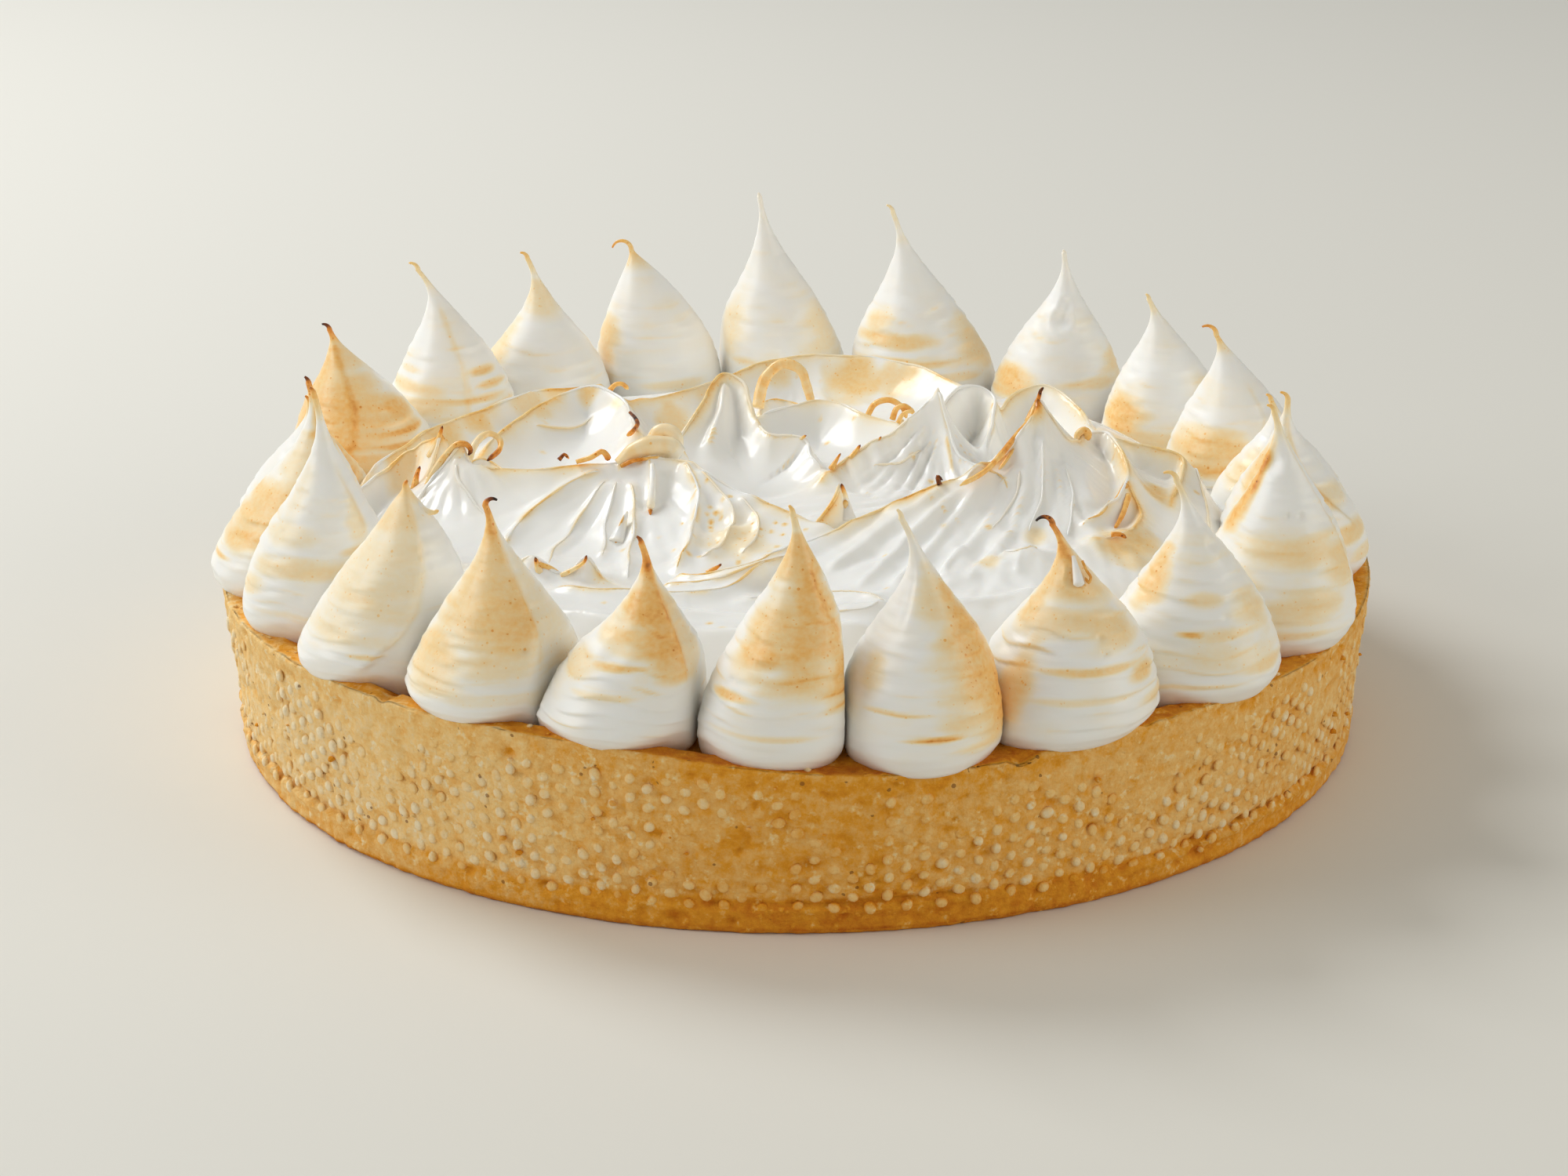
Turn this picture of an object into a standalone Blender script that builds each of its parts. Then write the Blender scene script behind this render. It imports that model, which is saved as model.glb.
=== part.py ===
"""A lemon meringue pie: a ring-baked pastry shell, a swirled centre and a crown of piped meringue kisses.

The origin is the middle of the flat base, +Z is up, and lengths are in metres. An azimuth is in degrees
round the pie: 0 is the -Y side, and it grows towards +X.
"""

import math

import bmesh
import bpy

# Pastry shell, which was baked in a ring and so has a nearly straight side.
CRUST_RADIUS = 0.120
CRUST_FOOT_RADIUS = 0.1165
RIM_HEIGHT = 0.03445
RIM_INNER_RADIUS = 0.1150
WELL_RADIUS = 0.1100
WELL_HEIGHT = 0.0325
EDGE_EASE = 0.0007
CRUST_SEGMENTS = 72
# The hand-cut rim rises and falls: (waves round the pie, height, phase in degrees).
RIM_WAVES = [(2, 0.00127, -170.0), (5, 0.00129, -124.0), (8, 0.00054, -164.0)]

# Clear space between pieces that touch in the real pie.
GAP = 0.0003

# Swirled centre: a puck whose top was pulled into crests with a spatula.
CENTRE_RADIUS = 0.0890
CENTRE_EDGE_HEIGHT = 0.0395
CENTRE_FLOOR_HEIGHT = 0.0435
CENTRE_SEGMENTS = 44
CENTRE_RING_STEP = 0.0072
CREST_WIDTH = 0.0085
# Each crest is a line of points (x, y, z) along its top.
CRESTS = [
    # The long crest that climbs to the tall right-hand peak and falls away behind it.
    [(0.002, -0.042, 0.049), (0.028, -0.020, 0.055), (0.050, 0.000, 0.065), (0.064, 0.016, 0.050)],
    # The lip of the front-left bowl.
    [(-0.072, -0.008, 0.053), (-0.032, -0.006, 0.055), (-0.012, -0.022, 0.054), (0.008, -0.040, 0.051)],
    # The knot where the grooves of that bowl meet.
    [(-0.032, -0.006, 0.055), (-0.028, 0.015, 0.057), (-0.030, 0.034, 0.053)],
    # The smooth fin.
    [(-0.028, 0.014, 0.052), (-0.018, 0.038, 0.063), (-0.006, 0.022, 0.048)],
    # The pale second peak with its ragged crest.
    [(0.008, 0.003, 0.049), (0.020, 0.010, 0.054), (0.029, 0.016, 0.063), (0.038, 0.004, 0.050)],
    # The rim of folds along the back.
    [(-0.078, 0.020, 0.047), (-0.055, 0.056, 0.049), (-0.010, 0.075, 0.050), (0.028, 0.076, 0.050),
     (0.056, 0.056, 0.050), (0.075, 0.028, 0.048)],
    # The inner fold at the back left.
    [(-0.070, 0.028, 0.054), (-0.047, 0.042, 0.053), (-0.034, 0.032, 0.052)],
    # The lip of the round hollow at the right.
    [(0.062, 0.005, 0.057), (0.073, -0.008, 0.052), (0.069, -0.030, 0.048)],
    # The low spikes at the front left.
    [(-0.057, -0.042, 0.050), (-0.046, -0.056, 0.051), (-0.024, -0.066, 0.047), (-0.002, -0.060, 0.048)],
]

# Piped kisses, in the order of their azimuths: (azimuth, distance from the axis, belly radius,
# height of the tip above the base of the pie, lean of the tip towards +X).
KISSES = [
    (12.2, 0.1065, 0.0160, 0.0777, -0.0043),
    (27.5, 0.1060, 0.0168, 0.0726, -0.0028),
    (45.0, 0.1060, 0.0166, 0.0749, -0.0045),
    (61.7, 0.1060, 0.0154, 0.0797, -0.0025),
    (84.0, 0.1055, 0.0145, 0.0695, -0.0042),
    (99.0, 0.1050, 0.0150, 0.0600, -0.0030),
    (113.0, 0.1050, 0.0150, 0.0697, -0.0050),
    (128.0, 0.1055, 0.0146, 0.0706, -0.0035),
    (145.5, 0.1055, 0.0158, 0.0746, 0.0020),
    (163.5, 0.1055, 0.0174, 0.0819, -0.0075),
    (182.0, 0.1055, 0.0157, 0.0836, -0.0045),
    (197.0, 0.1055, 0.0152, 0.0740, -0.0125),
    (213.0, 0.1055, 0.0160, 0.0743, -0.0050),
    (228.0, 0.1055, 0.0150, 0.0763, -0.0070),
    (244.5, 0.1050, 0.0150, 0.0698, -0.0070),
    (262.5, 0.1050, 0.0148, 0.0620, 0.0020),
    (281.5, 0.1065, 0.0158, 0.0780, 0.0080),
    (294.7, 0.1060, 0.0152, 0.0822, 0.0043),
    (310.8, 0.1065, 0.0160, 0.0713, 0.0076),
    (328.2, 0.1035, 0.0162, 0.0745, -0.0020),
    (342.9, 0.1045, 0.0162, 0.0711, 0.0034),
    (358.0, 0.1065, 0.0149, 0.0789, 0.0034),
]
# Outline of a kiss, from its tip down to the middle of its foot: (share of the height, share of the
# belly radius).
KISS_OUTLINE = [(1.0, 0.0), (0.93, 0.05), (0.84, 0.12), (0.73, 0.25), (0.60, 0.49), (0.45, 0.76),
                (0.28, 0.94), (0.11, 1.0), (0.0, 0.88), (0.0, 0.55), (0.0, 0.0)]
KISS_SEGMENTS = 16
LEAN_POWER = 2.4
# A kiss spreads over the step up to the rim without filling its corner.
KISS_INSET = 0.0035

SCREW_MERGE = 0.0001
SHARP_ANGLE = math.radians(40.0)

PASTRY = ("Baked pastry", (0.62, 0.36, 0.13), 0.75)
PIPED_MERINGUE = ("Piped meringue", (0.88, 0.80, 0.68), 0.40)
SWIRLED_MERINGUE = ("Swirled meringue", (0.90, 0.86, 0.79), 0.35)


def clear_scene():
    for leftover in list(bpy.data.objects):
        bpy.data.objects.remove(leftover, do_unlink=True)


def make_material(name, colour, roughness):
    material = bpy.data.materials.new(name)
    material.use_nodes = True
    shader = material.node_tree.nodes["Principled BSDF"]
    shader.inputs["Base Color"].default_value = (*colour, 1.0)
    shader.inputs["Roughness"].default_value = roughness
    shader.inputs["Metallic"].default_value = 0.0
    return material


def smooth_step(value, start, end):
    share = min(max((value - start) / (end - start), 0.0), 1.0)
    return share * share * (3.0 - 2.0 * share)


def turned(name, outline, segments, collection, material):
    """A solid turned round Z. The outline is (radius, height) points from the top of the axis, down the
    outer side, to the foot of the axis."""
    profile = bpy.data.meshes.new(name + "_outline")
    points = [(radius, 0.0, height) for radius, height in outline]
    profile.from_pydata(points, [(i, i + 1) for i in range(len(points) - 1)], [])
    guide = bpy.data.objects.new(name + "_outline", profile)
    collection.objects.link(guide)
    screw = guide.modifiers.new("Turn", "SCREW")
    screw.axis = "Z"
    screw.steps = segments
    screw.render_steps = segments
    screw.use_merge_vertices = True
    screw.merge_threshold = SCREW_MERGE
    graph = bpy.context.evaluated_depsgraph_get()
    mesh = bpy.data.meshes.new_from_object(guide.evaluated_get(graph))
    bpy.data.objects.remove(guide, do_unlink=True)
    bpy.data.meshes.remove(profile)
    mesh.name = name
    mesh.materials.clear()
    mesh.materials.append(material)
    solid = bpy.data.objects.new(name, mesh)
    collection.objects.link(solid)
    return solid


def finish_shading(solid):
    solid.data.shade_smooth()
    solid.data.set_sharp_from_angle(angle=SHARP_ANGLE)


def rim_wave(azimuth):
    return sum(
        height * math.sin(waves * azimuth + math.radians(phase)) for waves, height, phase in RIM_WAVES
    )


def crust_top(x, y, inset=0.0):
    """Height of the shell's top: a shallow well, a sloped step up and the wavy flat rim. An inset draws the
    same shape with its step that much nearer to the axis."""
    azimuth = math.atan2(x, -y)
    rim = RIM_HEIGHT + rim_wave(azimuth)
    beyond_well = math.hypot(x, y) + inset - WELL_RADIUS
    share = min(max(beyond_well / (RIM_INNER_RADIUS - WELL_RADIUS), 0.0), 1.0)
    return WELL_HEIGHT + share * (rim - WELL_HEIGHT)


def make_crust(collection, material):
    """The pastry shell with its filling, one solid up to the level that the meringue sits on."""
    outline = [
        (0.0, RIM_HEIGHT),
        (0.5 * WELL_RADIUS, RIM_HEIGHT),
        (WELL_RADIUS, RIM_HEIGHT),
        (RIM_INNER_RADIUS, RIM_HEIGHT),
        (CRUST_RADIUS - EDGE_EASE, RIM_HEIGHT),
        (CRUST_RADIUS, RIM_HEIGHT - EDGE_EASE),
        (CRUST_FOOT_RADIUS, EDGE_EASE),
        (CRUST_FOOT_RADIUS - EDGE_EASE, 0.0),
        (0.0, 0.0),
    ]
    crust = turned("crust", outline, CRUST_SEGMENTS, collection, material)
    for vertex in crust.data.vertices:
        if vertex.co.z > 0.5 * RIM_HEIGHT:
            vertex.co.z += crust_top(vertex.co.x, vertex.co.y) - RIM_HEIGHT
    finish_shading(crust)
    return crust


def distance_and_height(x, y, start, end):
    """Distance in plan from a place to one stretch of a crest, and the crest's height there."""
    along_x, along_y = end[0] - start[0], end[1] - start[1]
    length_squared = along_x * along_x + along_y * along_y
    share = ((x - start[0]) * along_x + (y - start[1]) * along_y) / length_squared
    share = min(max(share, 0.0), 1.0)
    distance = math.hypot(x - start[0] - share * along_x, y - start[1] - share * along_y)
    return distance, start[2] + share * (end[2] - start[2])


def centre_top(x, y):
    """Height of the swirled top: hollow flanks that rise to sharp crests."""
    edge_share = smooth_step(math.hypot(x, y), 0.75 * CENTRE_RADIUS, CENTRE_RADIUS)
    floor = CENTRE_FLOOR_HEIGHT + edge_share * (CENTRE_EDGE_HEIGHT - CENTRE_FLOOR_HEIGHT)
    rise = 0.0
    for crest in CRESTS:
        for start, end in zip(crest, crest[1:]):
            distance, height = distance_and_height(x, y, start, end)
            rise = max(rise, (height - floor) * math.exp(-distance / CREST_WIDTH))
    return floor + rise


def nearest_vertex(vertices, x, y):
    return min(vertices, key=lambda vertex: (vertex.co.x - x) ** 2 + (vertex.co.y - y) ** 2)


def make_centre(collection, material):
    """The swirled middle of the meringue, which fills the ring of kisses."""
    foot = WELL_HEIGHT + GAP
    rings = int(CENTRE_RADIUS / CENTRE_RING_STEP)
    outline = [(CENTRE_RADIUS * i / rings, CENTRE_EDGE_HEIGHT) for i in range(rings + 1)]
    outline += [(CENTRE_RADIUS, foot), (0.0, foot)]
    centre = turned("meringue_centre", outline, CENTRE_SEGMENTS, collection, material)
    inside = CENTRE_RADIUS - 0.5 * CENTRE_RING_STEP
    top = [vertex for vertex in centre.data.vertices if vertex.co.z > foot + GAP]
    movable = [vertex for vertex in top if math.hypot(vertex.co.x, vertex.co.y) < inside]
    for crest in CRESTS:
        for x, y, _ in crest:
            if movable and math.hypot(x, y) < inside:
                vertex = nearest_vertex(movable, x, y)
                movable.remove(vertex)
                vertex.co.x, vertex.co.y = x, y
    for vertex in top:
        vertex.co.z = centre_top(vertex.co.x, vertex.co.y)
    finish_shading(centre)
    return centre


def side_plane(kiss, neighbour):
    """Azimuth, in radians, of the plane through the pie's axis where two kisses are pressed together."""
    azimuth, _, radius = kiss[:3]
    next_azimuth, _, next_radius = neighbour[:3]
    turn = (next_azimuth - azimuth + 180.0) % 360.0 - 180.0
    return math.radians(azimuth + turn * radius / (radius + next_radius))


def pressed(x, y, low_plane, high_plane):
    """Moves a place back between a kiss's two side planes and out of the centre's cylinder."""
    for plane, side in ((low_plane, -1.0), (high_plane, 1.0)):
        across_x, across_y = side * math.cos(plane), side * math.sin(plane)
        beyond = x * across_x + y * across_y + 0.5 * GAP
        if beyond > 0.0:
            x -= beyond * across_x
            y -= beyond * across_y
    radius = math.hypot(x, y)
    closest = CENTRE_RADIUS + GAP
    if radius < closest:
        x *= closest / radius
        y *= closest / radius
    return x, y


def make_kiss(index, collection, material):
    """One piped drop of meringue: a round belly, a pinched tip that leans, and sides pressed flat."""
    azimuth, distance, belly, tip_height, lean = KISSES[index]
    foot = WELL_HEIGHT + GAP
    height = tip_height - foot
    outline = [(share_out * belly, share_up * height) for share_up, share_out in KISS_OUTLINE]
    name = f"meringue_kiss_{index + 1:02d}"
    kiss = turned(name, outline, KISS_SEGMENTS, collection, material)
    centre_x = distance * math.sin(math.radians(azimuth))
    centre_y = -distance * math.cos(math.radians(azimuth))
    low_plane = side_plane(KISSES[index], KISSES[index - 1])
    high_plane = side_plane(KISSES[index], KISSES[(index + 1) % len(KISSES)])
    for vertex in kiss.data.vertices:
        share_up = vertex.co.z / height
        x = centre_x + vertex.co.x + lean * share_up**LEAN_POWER
        y = centre_y + vertex.co.y
        x, y = pressed(x, y, low_plane, high_plane)
        z = max(foot + vertex.co.z, crust_top(x, y, KISS_INSET) + GAP)
        vertex.co = (x - centre_x, y - centre_y, z - foot)
    kiss.location = (centre_x, centre_y, foot)
    finish_shading(kiss)
    return kiss


def recalculate_normals(solid):
    work = bmesh.new()
    work.from_mesh(solid.data)
    bmesh.ops.recalc_face_normals(work, faces=work.faces)
    work.to_mesh(solid.data)
    work.free()


def build():
    clear_scene()
    collection = bpy.data.collections.new("Lemon meringue pie")
    bpy.context.scene.collection.children.link(collection)
    pie = bpy.data.objects.new("pie", None)
    collection.objects.link(pie)
    pieces = [make_crust(collection, make_material(*PASTRY))]
    pieces.append(make_centre(collection, make_material(*SWIRLED_MERINGUE)))
    piped = make_material(*PIPED_MERINGUE)
    pieces += [make_kiss(index, collection, piped) for index in range(len(KISSES))]
    for piece in pieces:
        recalculate_normals(piece)
        piece.parent = pie


build()
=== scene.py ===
import itertools
import math

import bpy
import numpy as np
from mathutils import Matrix, Vector
from mathutils.kdtree import KDTree


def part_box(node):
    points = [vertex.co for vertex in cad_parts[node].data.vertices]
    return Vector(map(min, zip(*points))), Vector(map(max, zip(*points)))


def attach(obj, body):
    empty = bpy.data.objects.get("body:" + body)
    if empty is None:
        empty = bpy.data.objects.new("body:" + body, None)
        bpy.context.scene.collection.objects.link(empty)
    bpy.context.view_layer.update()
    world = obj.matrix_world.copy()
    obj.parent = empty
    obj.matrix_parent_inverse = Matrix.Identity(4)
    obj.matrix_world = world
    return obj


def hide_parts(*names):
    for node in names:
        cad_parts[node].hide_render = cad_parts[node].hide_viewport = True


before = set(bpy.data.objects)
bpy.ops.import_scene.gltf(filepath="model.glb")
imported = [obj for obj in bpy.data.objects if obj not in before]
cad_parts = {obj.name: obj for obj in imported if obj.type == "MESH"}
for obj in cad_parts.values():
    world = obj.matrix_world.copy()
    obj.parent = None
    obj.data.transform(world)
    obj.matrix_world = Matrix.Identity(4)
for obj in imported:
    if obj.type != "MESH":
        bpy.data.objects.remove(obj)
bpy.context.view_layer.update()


# ---------------------------------------------------------------------------------------------------
# The table, the studio light and the camera. The pie stands on a plain pale table top under large
# soft boxes, the brightest of them high up behind its left side, and the camera looks slightly down.

TABLE_SIZE = 8.0
TABLE_COLOUR = (226, 224, 216)
SKY_COLOUR = (240, 240, 236)
SKY_STRENGTH = 0.40
CAMERA_PLACE = (0.0, -0.67505, 0.27464)
CAMERA_PITCH = math.radians(20.364)
CAMERA_YAW = math.radians(-0.2207)
CAMERA_ROLL = math.radians(-0.194)
LENS_MM = 78.04
SENSOR_MM = 36.0
SOFT_BOXES = [
    # name, place, width, power in watts, colour
    ("key_box", (-0.85, 0.75, 1.05), 0.7, 12.4, (0.98, 0.99, 1.0)),
    ("left_box", (-1.30, -0.25, 0.75), 0.8, 6.0, (1.0, 1.0, 0.99)),
    ("right_box", (1.25, -0.45, 0.55), 1.0, 4.8, (1.0, 0.95, 0.84)),
    ("front_fill", (-0.10, -0.95, 0.20), 0.9, 0.46, (1.0, 0.90, 0.66)),
]
LIGHT_TARGET = Vector((0.0, 0.0, 0.04))


def linear(red, green, blue):
    """A colour from how bright it looks, 0 to 255, to the light that it sends back."""
    return tuple((part / 255.0) ** 2.2 for part in (red, green, blue)) + (1.0,)


def make_table():
    mesh = bpy.data.meshes.new("table")
    half = 0.5 * TABLE_SIZE
    corners = [(-half, -half, 0.0), (half, -half, 0.0), (half, half, 0.0), (-half, half, 0.0)]
    mesh.from_pydata(corners, [], [(0, 1, 2, 3)])
    table = bpy.data.objects.new("table", mesh)
    bpy.context.collection.objects.link(table)
    material = bpy.data.materials.new("Pale table top")
    material.use_nodes = True
    shader = material.node_tree.nodes["Principled BSDF"]
    shader.inputs["Base Color"].default_value = linear(*TABLE_COLOUR)
    shader.inputs["Roughness"].default_value = 0.7
    mesh.materials.append(material)


def make_lights():
    for name, place, width, power, colour in SOFT_BOXES:
        light = bpy.data.lights.new(name, "AREA")
        light.shape = "DISK"
        light.size = width
        light.energy = power
        light.color = colour
        lamp = bpy.data.objects.new(name, light)
        lamp.location = place
        lamp.rotation_euler = (LIGHT_TARGET - Vector(place)).to_track_quat("-Z", "Y").to_euler()
        bpy.context.collection.objects.link(lamp)
    world = bpy.data.worlds.new("Studio")
    world.use_nodes = True
    sky = world.node_tree.nodes["Background"]
    sky.inputs["Color"].default_value = linear(*SKY_COLOUR)
    sky.inputs["Strength"].default_value = SKY_STRENGTH
    bpy.context.scene.world = world


def make_camera():
    camera = bpy.data.cameras.new("camera")
    camera.lens = LENS_MM
    camera.sensor_width = SENSOR_MM
    camera.clip_start = 0.01
    holder = bpy.data.objects.new("camera", camera)
    turn = Matrix.Rotation(-CAMERA_YAW, 4, "Z")
    turn = turn @ Matrix.Rotation(math.radians(90.0) - CAMERA_PITCH, 4, "X")
    turn = turn @ Matrix.Rotation(CAMERA_ROLL, 4, "Z")
    holder.matrix_world = Matrix.Translation(CAMERA_PLACE) @ turn
    bpy.context.collection.objects.link(holder)
    bpy.context.scene.camera = holder


bpy.context.scene.view_settings.view_transform = "Standard"
make_table()
make_lights()
make_camera()


# ---------------------------------------------------------------------------------------------------
# The pastry shell. Shortcrust pressed into a perforated ring and baked golden, then filled, so its side
# is nearly straight, and its cut rim rises and falls a little. Only the edge of the rim stays bare.

MM = 0.001
CRUST_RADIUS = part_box("crust")[1].x
FOOT_INSET = 3.5 * MM
RIM_HEIGHT = 34.45 * MM
RIM_INNER_RADIUS = 115.0 * MM
WELL_RADIUS = 110.0 * MM
WELL_HEIGHT = 32.5 * MM
# Waves of the hand-cut rim: (waves round the pie, height, phase in degrees).
RIM_WAVES = [(2, 1.27 * MM, -170.0), (5, 1.29 * MM, -124.0), (8, 0.54 * MM, -164.0)]
CRUST_COLUMNS = 1008
WALL_ROWS = 48
EDGE_ROUND = 0.7 * MM
FOOT_ROUND = 1.0 * MM
CRUMB_PITS = 1300
# How brown the pastry is baked, from 0 to 1: its side, the top of its rim, and its base and well. The deep
# brown of the well is also painted shade, standing for the filling seen in shade between the kisses.
SIDE_BAKE = 0.44
RIM_BAKE = 0.14
BASE_BAKE_AND_WELL_SHADE = 0.62
FULL_TURN = 2.0 * math.pi


def drift(places, size, seed):
    """Smooth noise of about -1 to 1 at an array of places, with lumps of the given size in metres."""
    spots = np.asarray(places, float) / size + 11.7 * seed
    cell = np.floor(spots)
    part = spots - cell
    ease = part * part * part * (part * (part * 6.0 - 15.0) + 10.0)
    cell = cell.astype(np.int64)
    total = np.zeros(len(spots))
    for corner in itertools.product((0, 1), repeat=3):
        node = cell + corner
        mixed = node[:, 0] * 73856093 ^ node[:, 1] * 19349663 ^ node[:, 2] * 83492791
        mixed = (mixed & 0xFFFFFFF) * 1274126177 & 0xFFFFFFFF
        mixed = (mixed ^ mixed >> 15) * 668265263 & 0xFFFFFFFF
        slopes = np.stack([(mixed >> shift & 255) / 127.5 - 1.0 for shift in (8, 16, 24)], axis=1)
        share = np.prod(np.where(corner, ease, 1.0 - ease), axis=1)
        total += share * (slopes * (part - corner)).sum(axis=1)
    return 1.5 * total


def smooth(value, start, end):
    """A soft step from 0 at the start to 1 at the end, which may lie below the start."""
    share = np.clip((value - start) / (end - start), 0.0, 1.0)
    return share * share * (3.0 - 2.0 * share)


def grid_faces(rows, columns, joined):
    """Quads over rows of points. Joined rows are rings, whose last point meets the first."""
    across = np.arange(columns if joined else columns - 1)
    beside = (across + 1) % columns
    faces = [
        np.stack([row * columns + across, row * columns + beside,
                  (row + 1) * columns + beside, (row + 1) * columns + across], axis=1)
        for row in range(rows - 1)
    ]
    return np.concatenate(faces).tolist()


def end_caps(first, last, columns, under, over):
    """Triangles that close a tube of rings: the first ring round one point, the last round another."""
    pairs = [(i, (i + 1) % columns) for i in range(columns)]
    below = [(under, first + j, first + i) for i, j in pairs]
    return below + [(over, last + i, last + j) for i, j in pairs]


def make_skin(name, places, faces, material, marks):
    """A smooth mesh piece. Marks are named values at its points, which its material reads."""
    mesh = bpy.data.meshes.new(name)
    mesh.from_pydata(np.asarray(places).tolist(), [], faces)
    for mark, values in marks.items():
        attribute = mesh.attributes.new(mark, "FLOAT", "POINT")
        attribute.data.foreach_set("value", np.asarray(values, np.float32))
    mesh.materials.append(material)
    mesh.shade_smooth()
    mesh.validate()
    piece = bpy.data.objects.new(name, mesh)
    bpy.context.collection.objects.link(piece)
    return piece


def rim_height(azimuth):
    return RIM_HEIGHT + sum(
        height * np.sin(waves * azimuth + math.radians(phase)) for waves, height, phase in RIM_WAVES
    )


def crust_top(x, y):
    """Height of the shell's top: a shallow well, a slope up and the wavy rim."""
    rim = rim_height(np.arctan2(x, -y))
    share = np.clip((np.hypot(x, y) - WELL_RADIUS) / (RIM_INNER_RADIUS - WELL_RADIUS), 0.0, 1.0)
    return WELL_HEIGHT + share * (rim - WELL_HEIGHT)


def wall_radius(height_share):
    """The side leans out a little, from the foot to the rim."""
    return CRUST_RADIUS - FOOT_INSET * (1.0 - height_share)


def wall_places(azimuth, height, radius):
    return np.stack([radius * np.sin(azimuth), -radius * np.cos(azimuth), height], axis=1)


def facing_front(azimuth):
    return smooth(np.cos(azimuth), 0.2, 0.9)


def wall_bake_light_and_shade(azimuth, share, height):
    """How brown the side is: baked browner at the foot and the rim, with painted shade that darkens the foot
    most at the front, and painted light that makes the left and right paler.
    """
    low = 0.09 * smooth(height / MM, 6.6, 5.0) + 0.10 * smooth(height / MM, 1.6, 0.6)
    low = low + 0.08 * np.exp(-((height / MM - 6.3) / 0.7) ** 2)
    # Painted shade: the band at the foot is darkest at the front, where it lies in shade.
    low = low * (0.75 + 0.95 * facing_front(azimuth))
    top = 0.05 * smooth(share, 0.80, 0.95)
    # Painted light: the left and right sides are paler where the lamps fall on them, so the front reads
    # darker.
    left = 0.22 * smooth(np.cos(azimuth + math.radians(80.0)), 0.1, 0.9)
    right = 0.10 * smooth(np.cos(azimuth - math.radians(75.0)), 0.3, 0.9)
    return SIDE_BAKE + low + top - left - right


def wall_relief(places):
    """How far the baked side stands out: soft dents, a fine crumb and the seam where the base joins."""
    height = places[:, 2]
    dents = 0.34 * drift(places, 17 * MM, 1) + 0.22 * drift(places, 6 * MM, 2)
    rough = 0.5 + 0.5 * smooth(drift(places, 24 * MM, 8), -0.4, 0.4)
    crumb = rough * (0.32 * drift(places, 2.8 * MM, 3) + 0.26 * drift(places, 1.5 * MM, 9))
    seam_height = 5.2 + 1.1 * drift(places * (1, 1, 0), 40 * MM, 4)
    above = height / MM - seam_height
    seam = 0.55 * np.exp(-(above / 0.7) ** 2) - 0.75 * np.exp(-((above - 1.2) / 0.55) ** 2)
    seam *= smooth(drift(places * (1, 1, 0), 50 * MM, 5), -0.4, 0.2)
    foot = 0.70 * smooth(above, 0.8, -0.4)
    return (dents + crumb + seam + foot - 0.30) * MM


class Wiring:
    """A material that is wired up step by step. Its mark is a named value at a mesh's points."""

    def __init__(self, name, gloss, shine, mark):
        self.material = bpy.data.materials.new(name)
        self.material.use_nodes = True
        self.nodes = self.material.node_tree.nodes
        self.links = self.material.node_tree.links
        self.shader = self.nodes["Principled BSDF"]
        self.feed(self.shader, {"Roughness": gloss, "Specular IOR Level": shine})
        self.place = self.add("TexCoord", {}).outputs["Object"]
        attribute = self.add("Attribute", {})
        attribute.attribute_name = mark
        self.mark = attribute.outputs["Fac"]

    def feed(self, node, inputs):
        for name, value in inputs.items():
            if isinstance(value, bpy.types.NodeSocket):
                self.links.new(value, node.inputs[name])
            else:
                node.inputs[name].default_value = value

    def add(self, kind, inputs):
        node = self.nodes.new("ShaderNode" + kind)
        self.feed(node, inputs)
        return node

    def maths(self, first, operation, second):
        node = self.add("Math", {0: first, 1: second})
        node.operation = operation
        return node.outputs[0]

    def noise(self, scale, detail, roughness=0.5, stretch=1.0):
        """Noise of 0 to 1. A stretch above 1 flattens its lumps into streaks that lie level."""
        place = self.add("Mapping", {"Vector": self.place, "Scale": (scale, scale, scale * stretch)})
        noise = self.add("TexNoise", {"Scale": 1.0, "Detail": detail, "Roughness": roughness})
        self.feed(noise, {"Vector": place.outputs["Vector"]})
        return noise.outputs["Fac"]

    def ripple(self, strength, *noise):
        """Noise about 0, of the given strength."""
        return self.maths(self.maths(self.noise(*noise), "SUBTRACT", 0.5), "MULTIPLY", strength)

    def specks(self, scale, size, patches, share):
        """1 on small round specks, where the noise of the patches is above a share, and 0 elsewhere."""
        spots = self.add("TexVoronoi", {"Vector": self.place, "Scale": scale})
        near = self.maths(spots.outputs["Distance"], "LESS_THAN", size)
        return self.maths(near, "MULTIPLY", self.maths(patches, "GREATER_THAN", share))

    def ramp(self, value, steps):
        """A colour for each value, from steps of (value, colour)."""
        ramp = self.add("ValToRGB", {"Fac": value})
        ends = ramp.color_ramp.elements
        for element, (position, colour) in zip(ends, (steps[0], steps[-1])):
            element.position = position
            element.color = linear(*colour)
        for position, colour in steps[1:-1]:
            ends.new(position).color = linear(*colour)
        return ramp.outputs["Color"]

    def bump(self, height, strength, distance):
        bump = self.add("Bump", {"Height": height, "Strength": strength, "Distance": distance})
        self.feed(self.shader, {"Normal": bump.outputs["Normal"]})


BAKED_COLOURS = [(0.0, (255, 236, 196)), (0.25, (255, 212, 138)), (0.5, (242, 164, 44)),
                 (0.75, (206, 112, 18)), (1.0, (96, 50, 14))]
HOLE_SHADE_COLOUR = (132, 80, 36)


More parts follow.
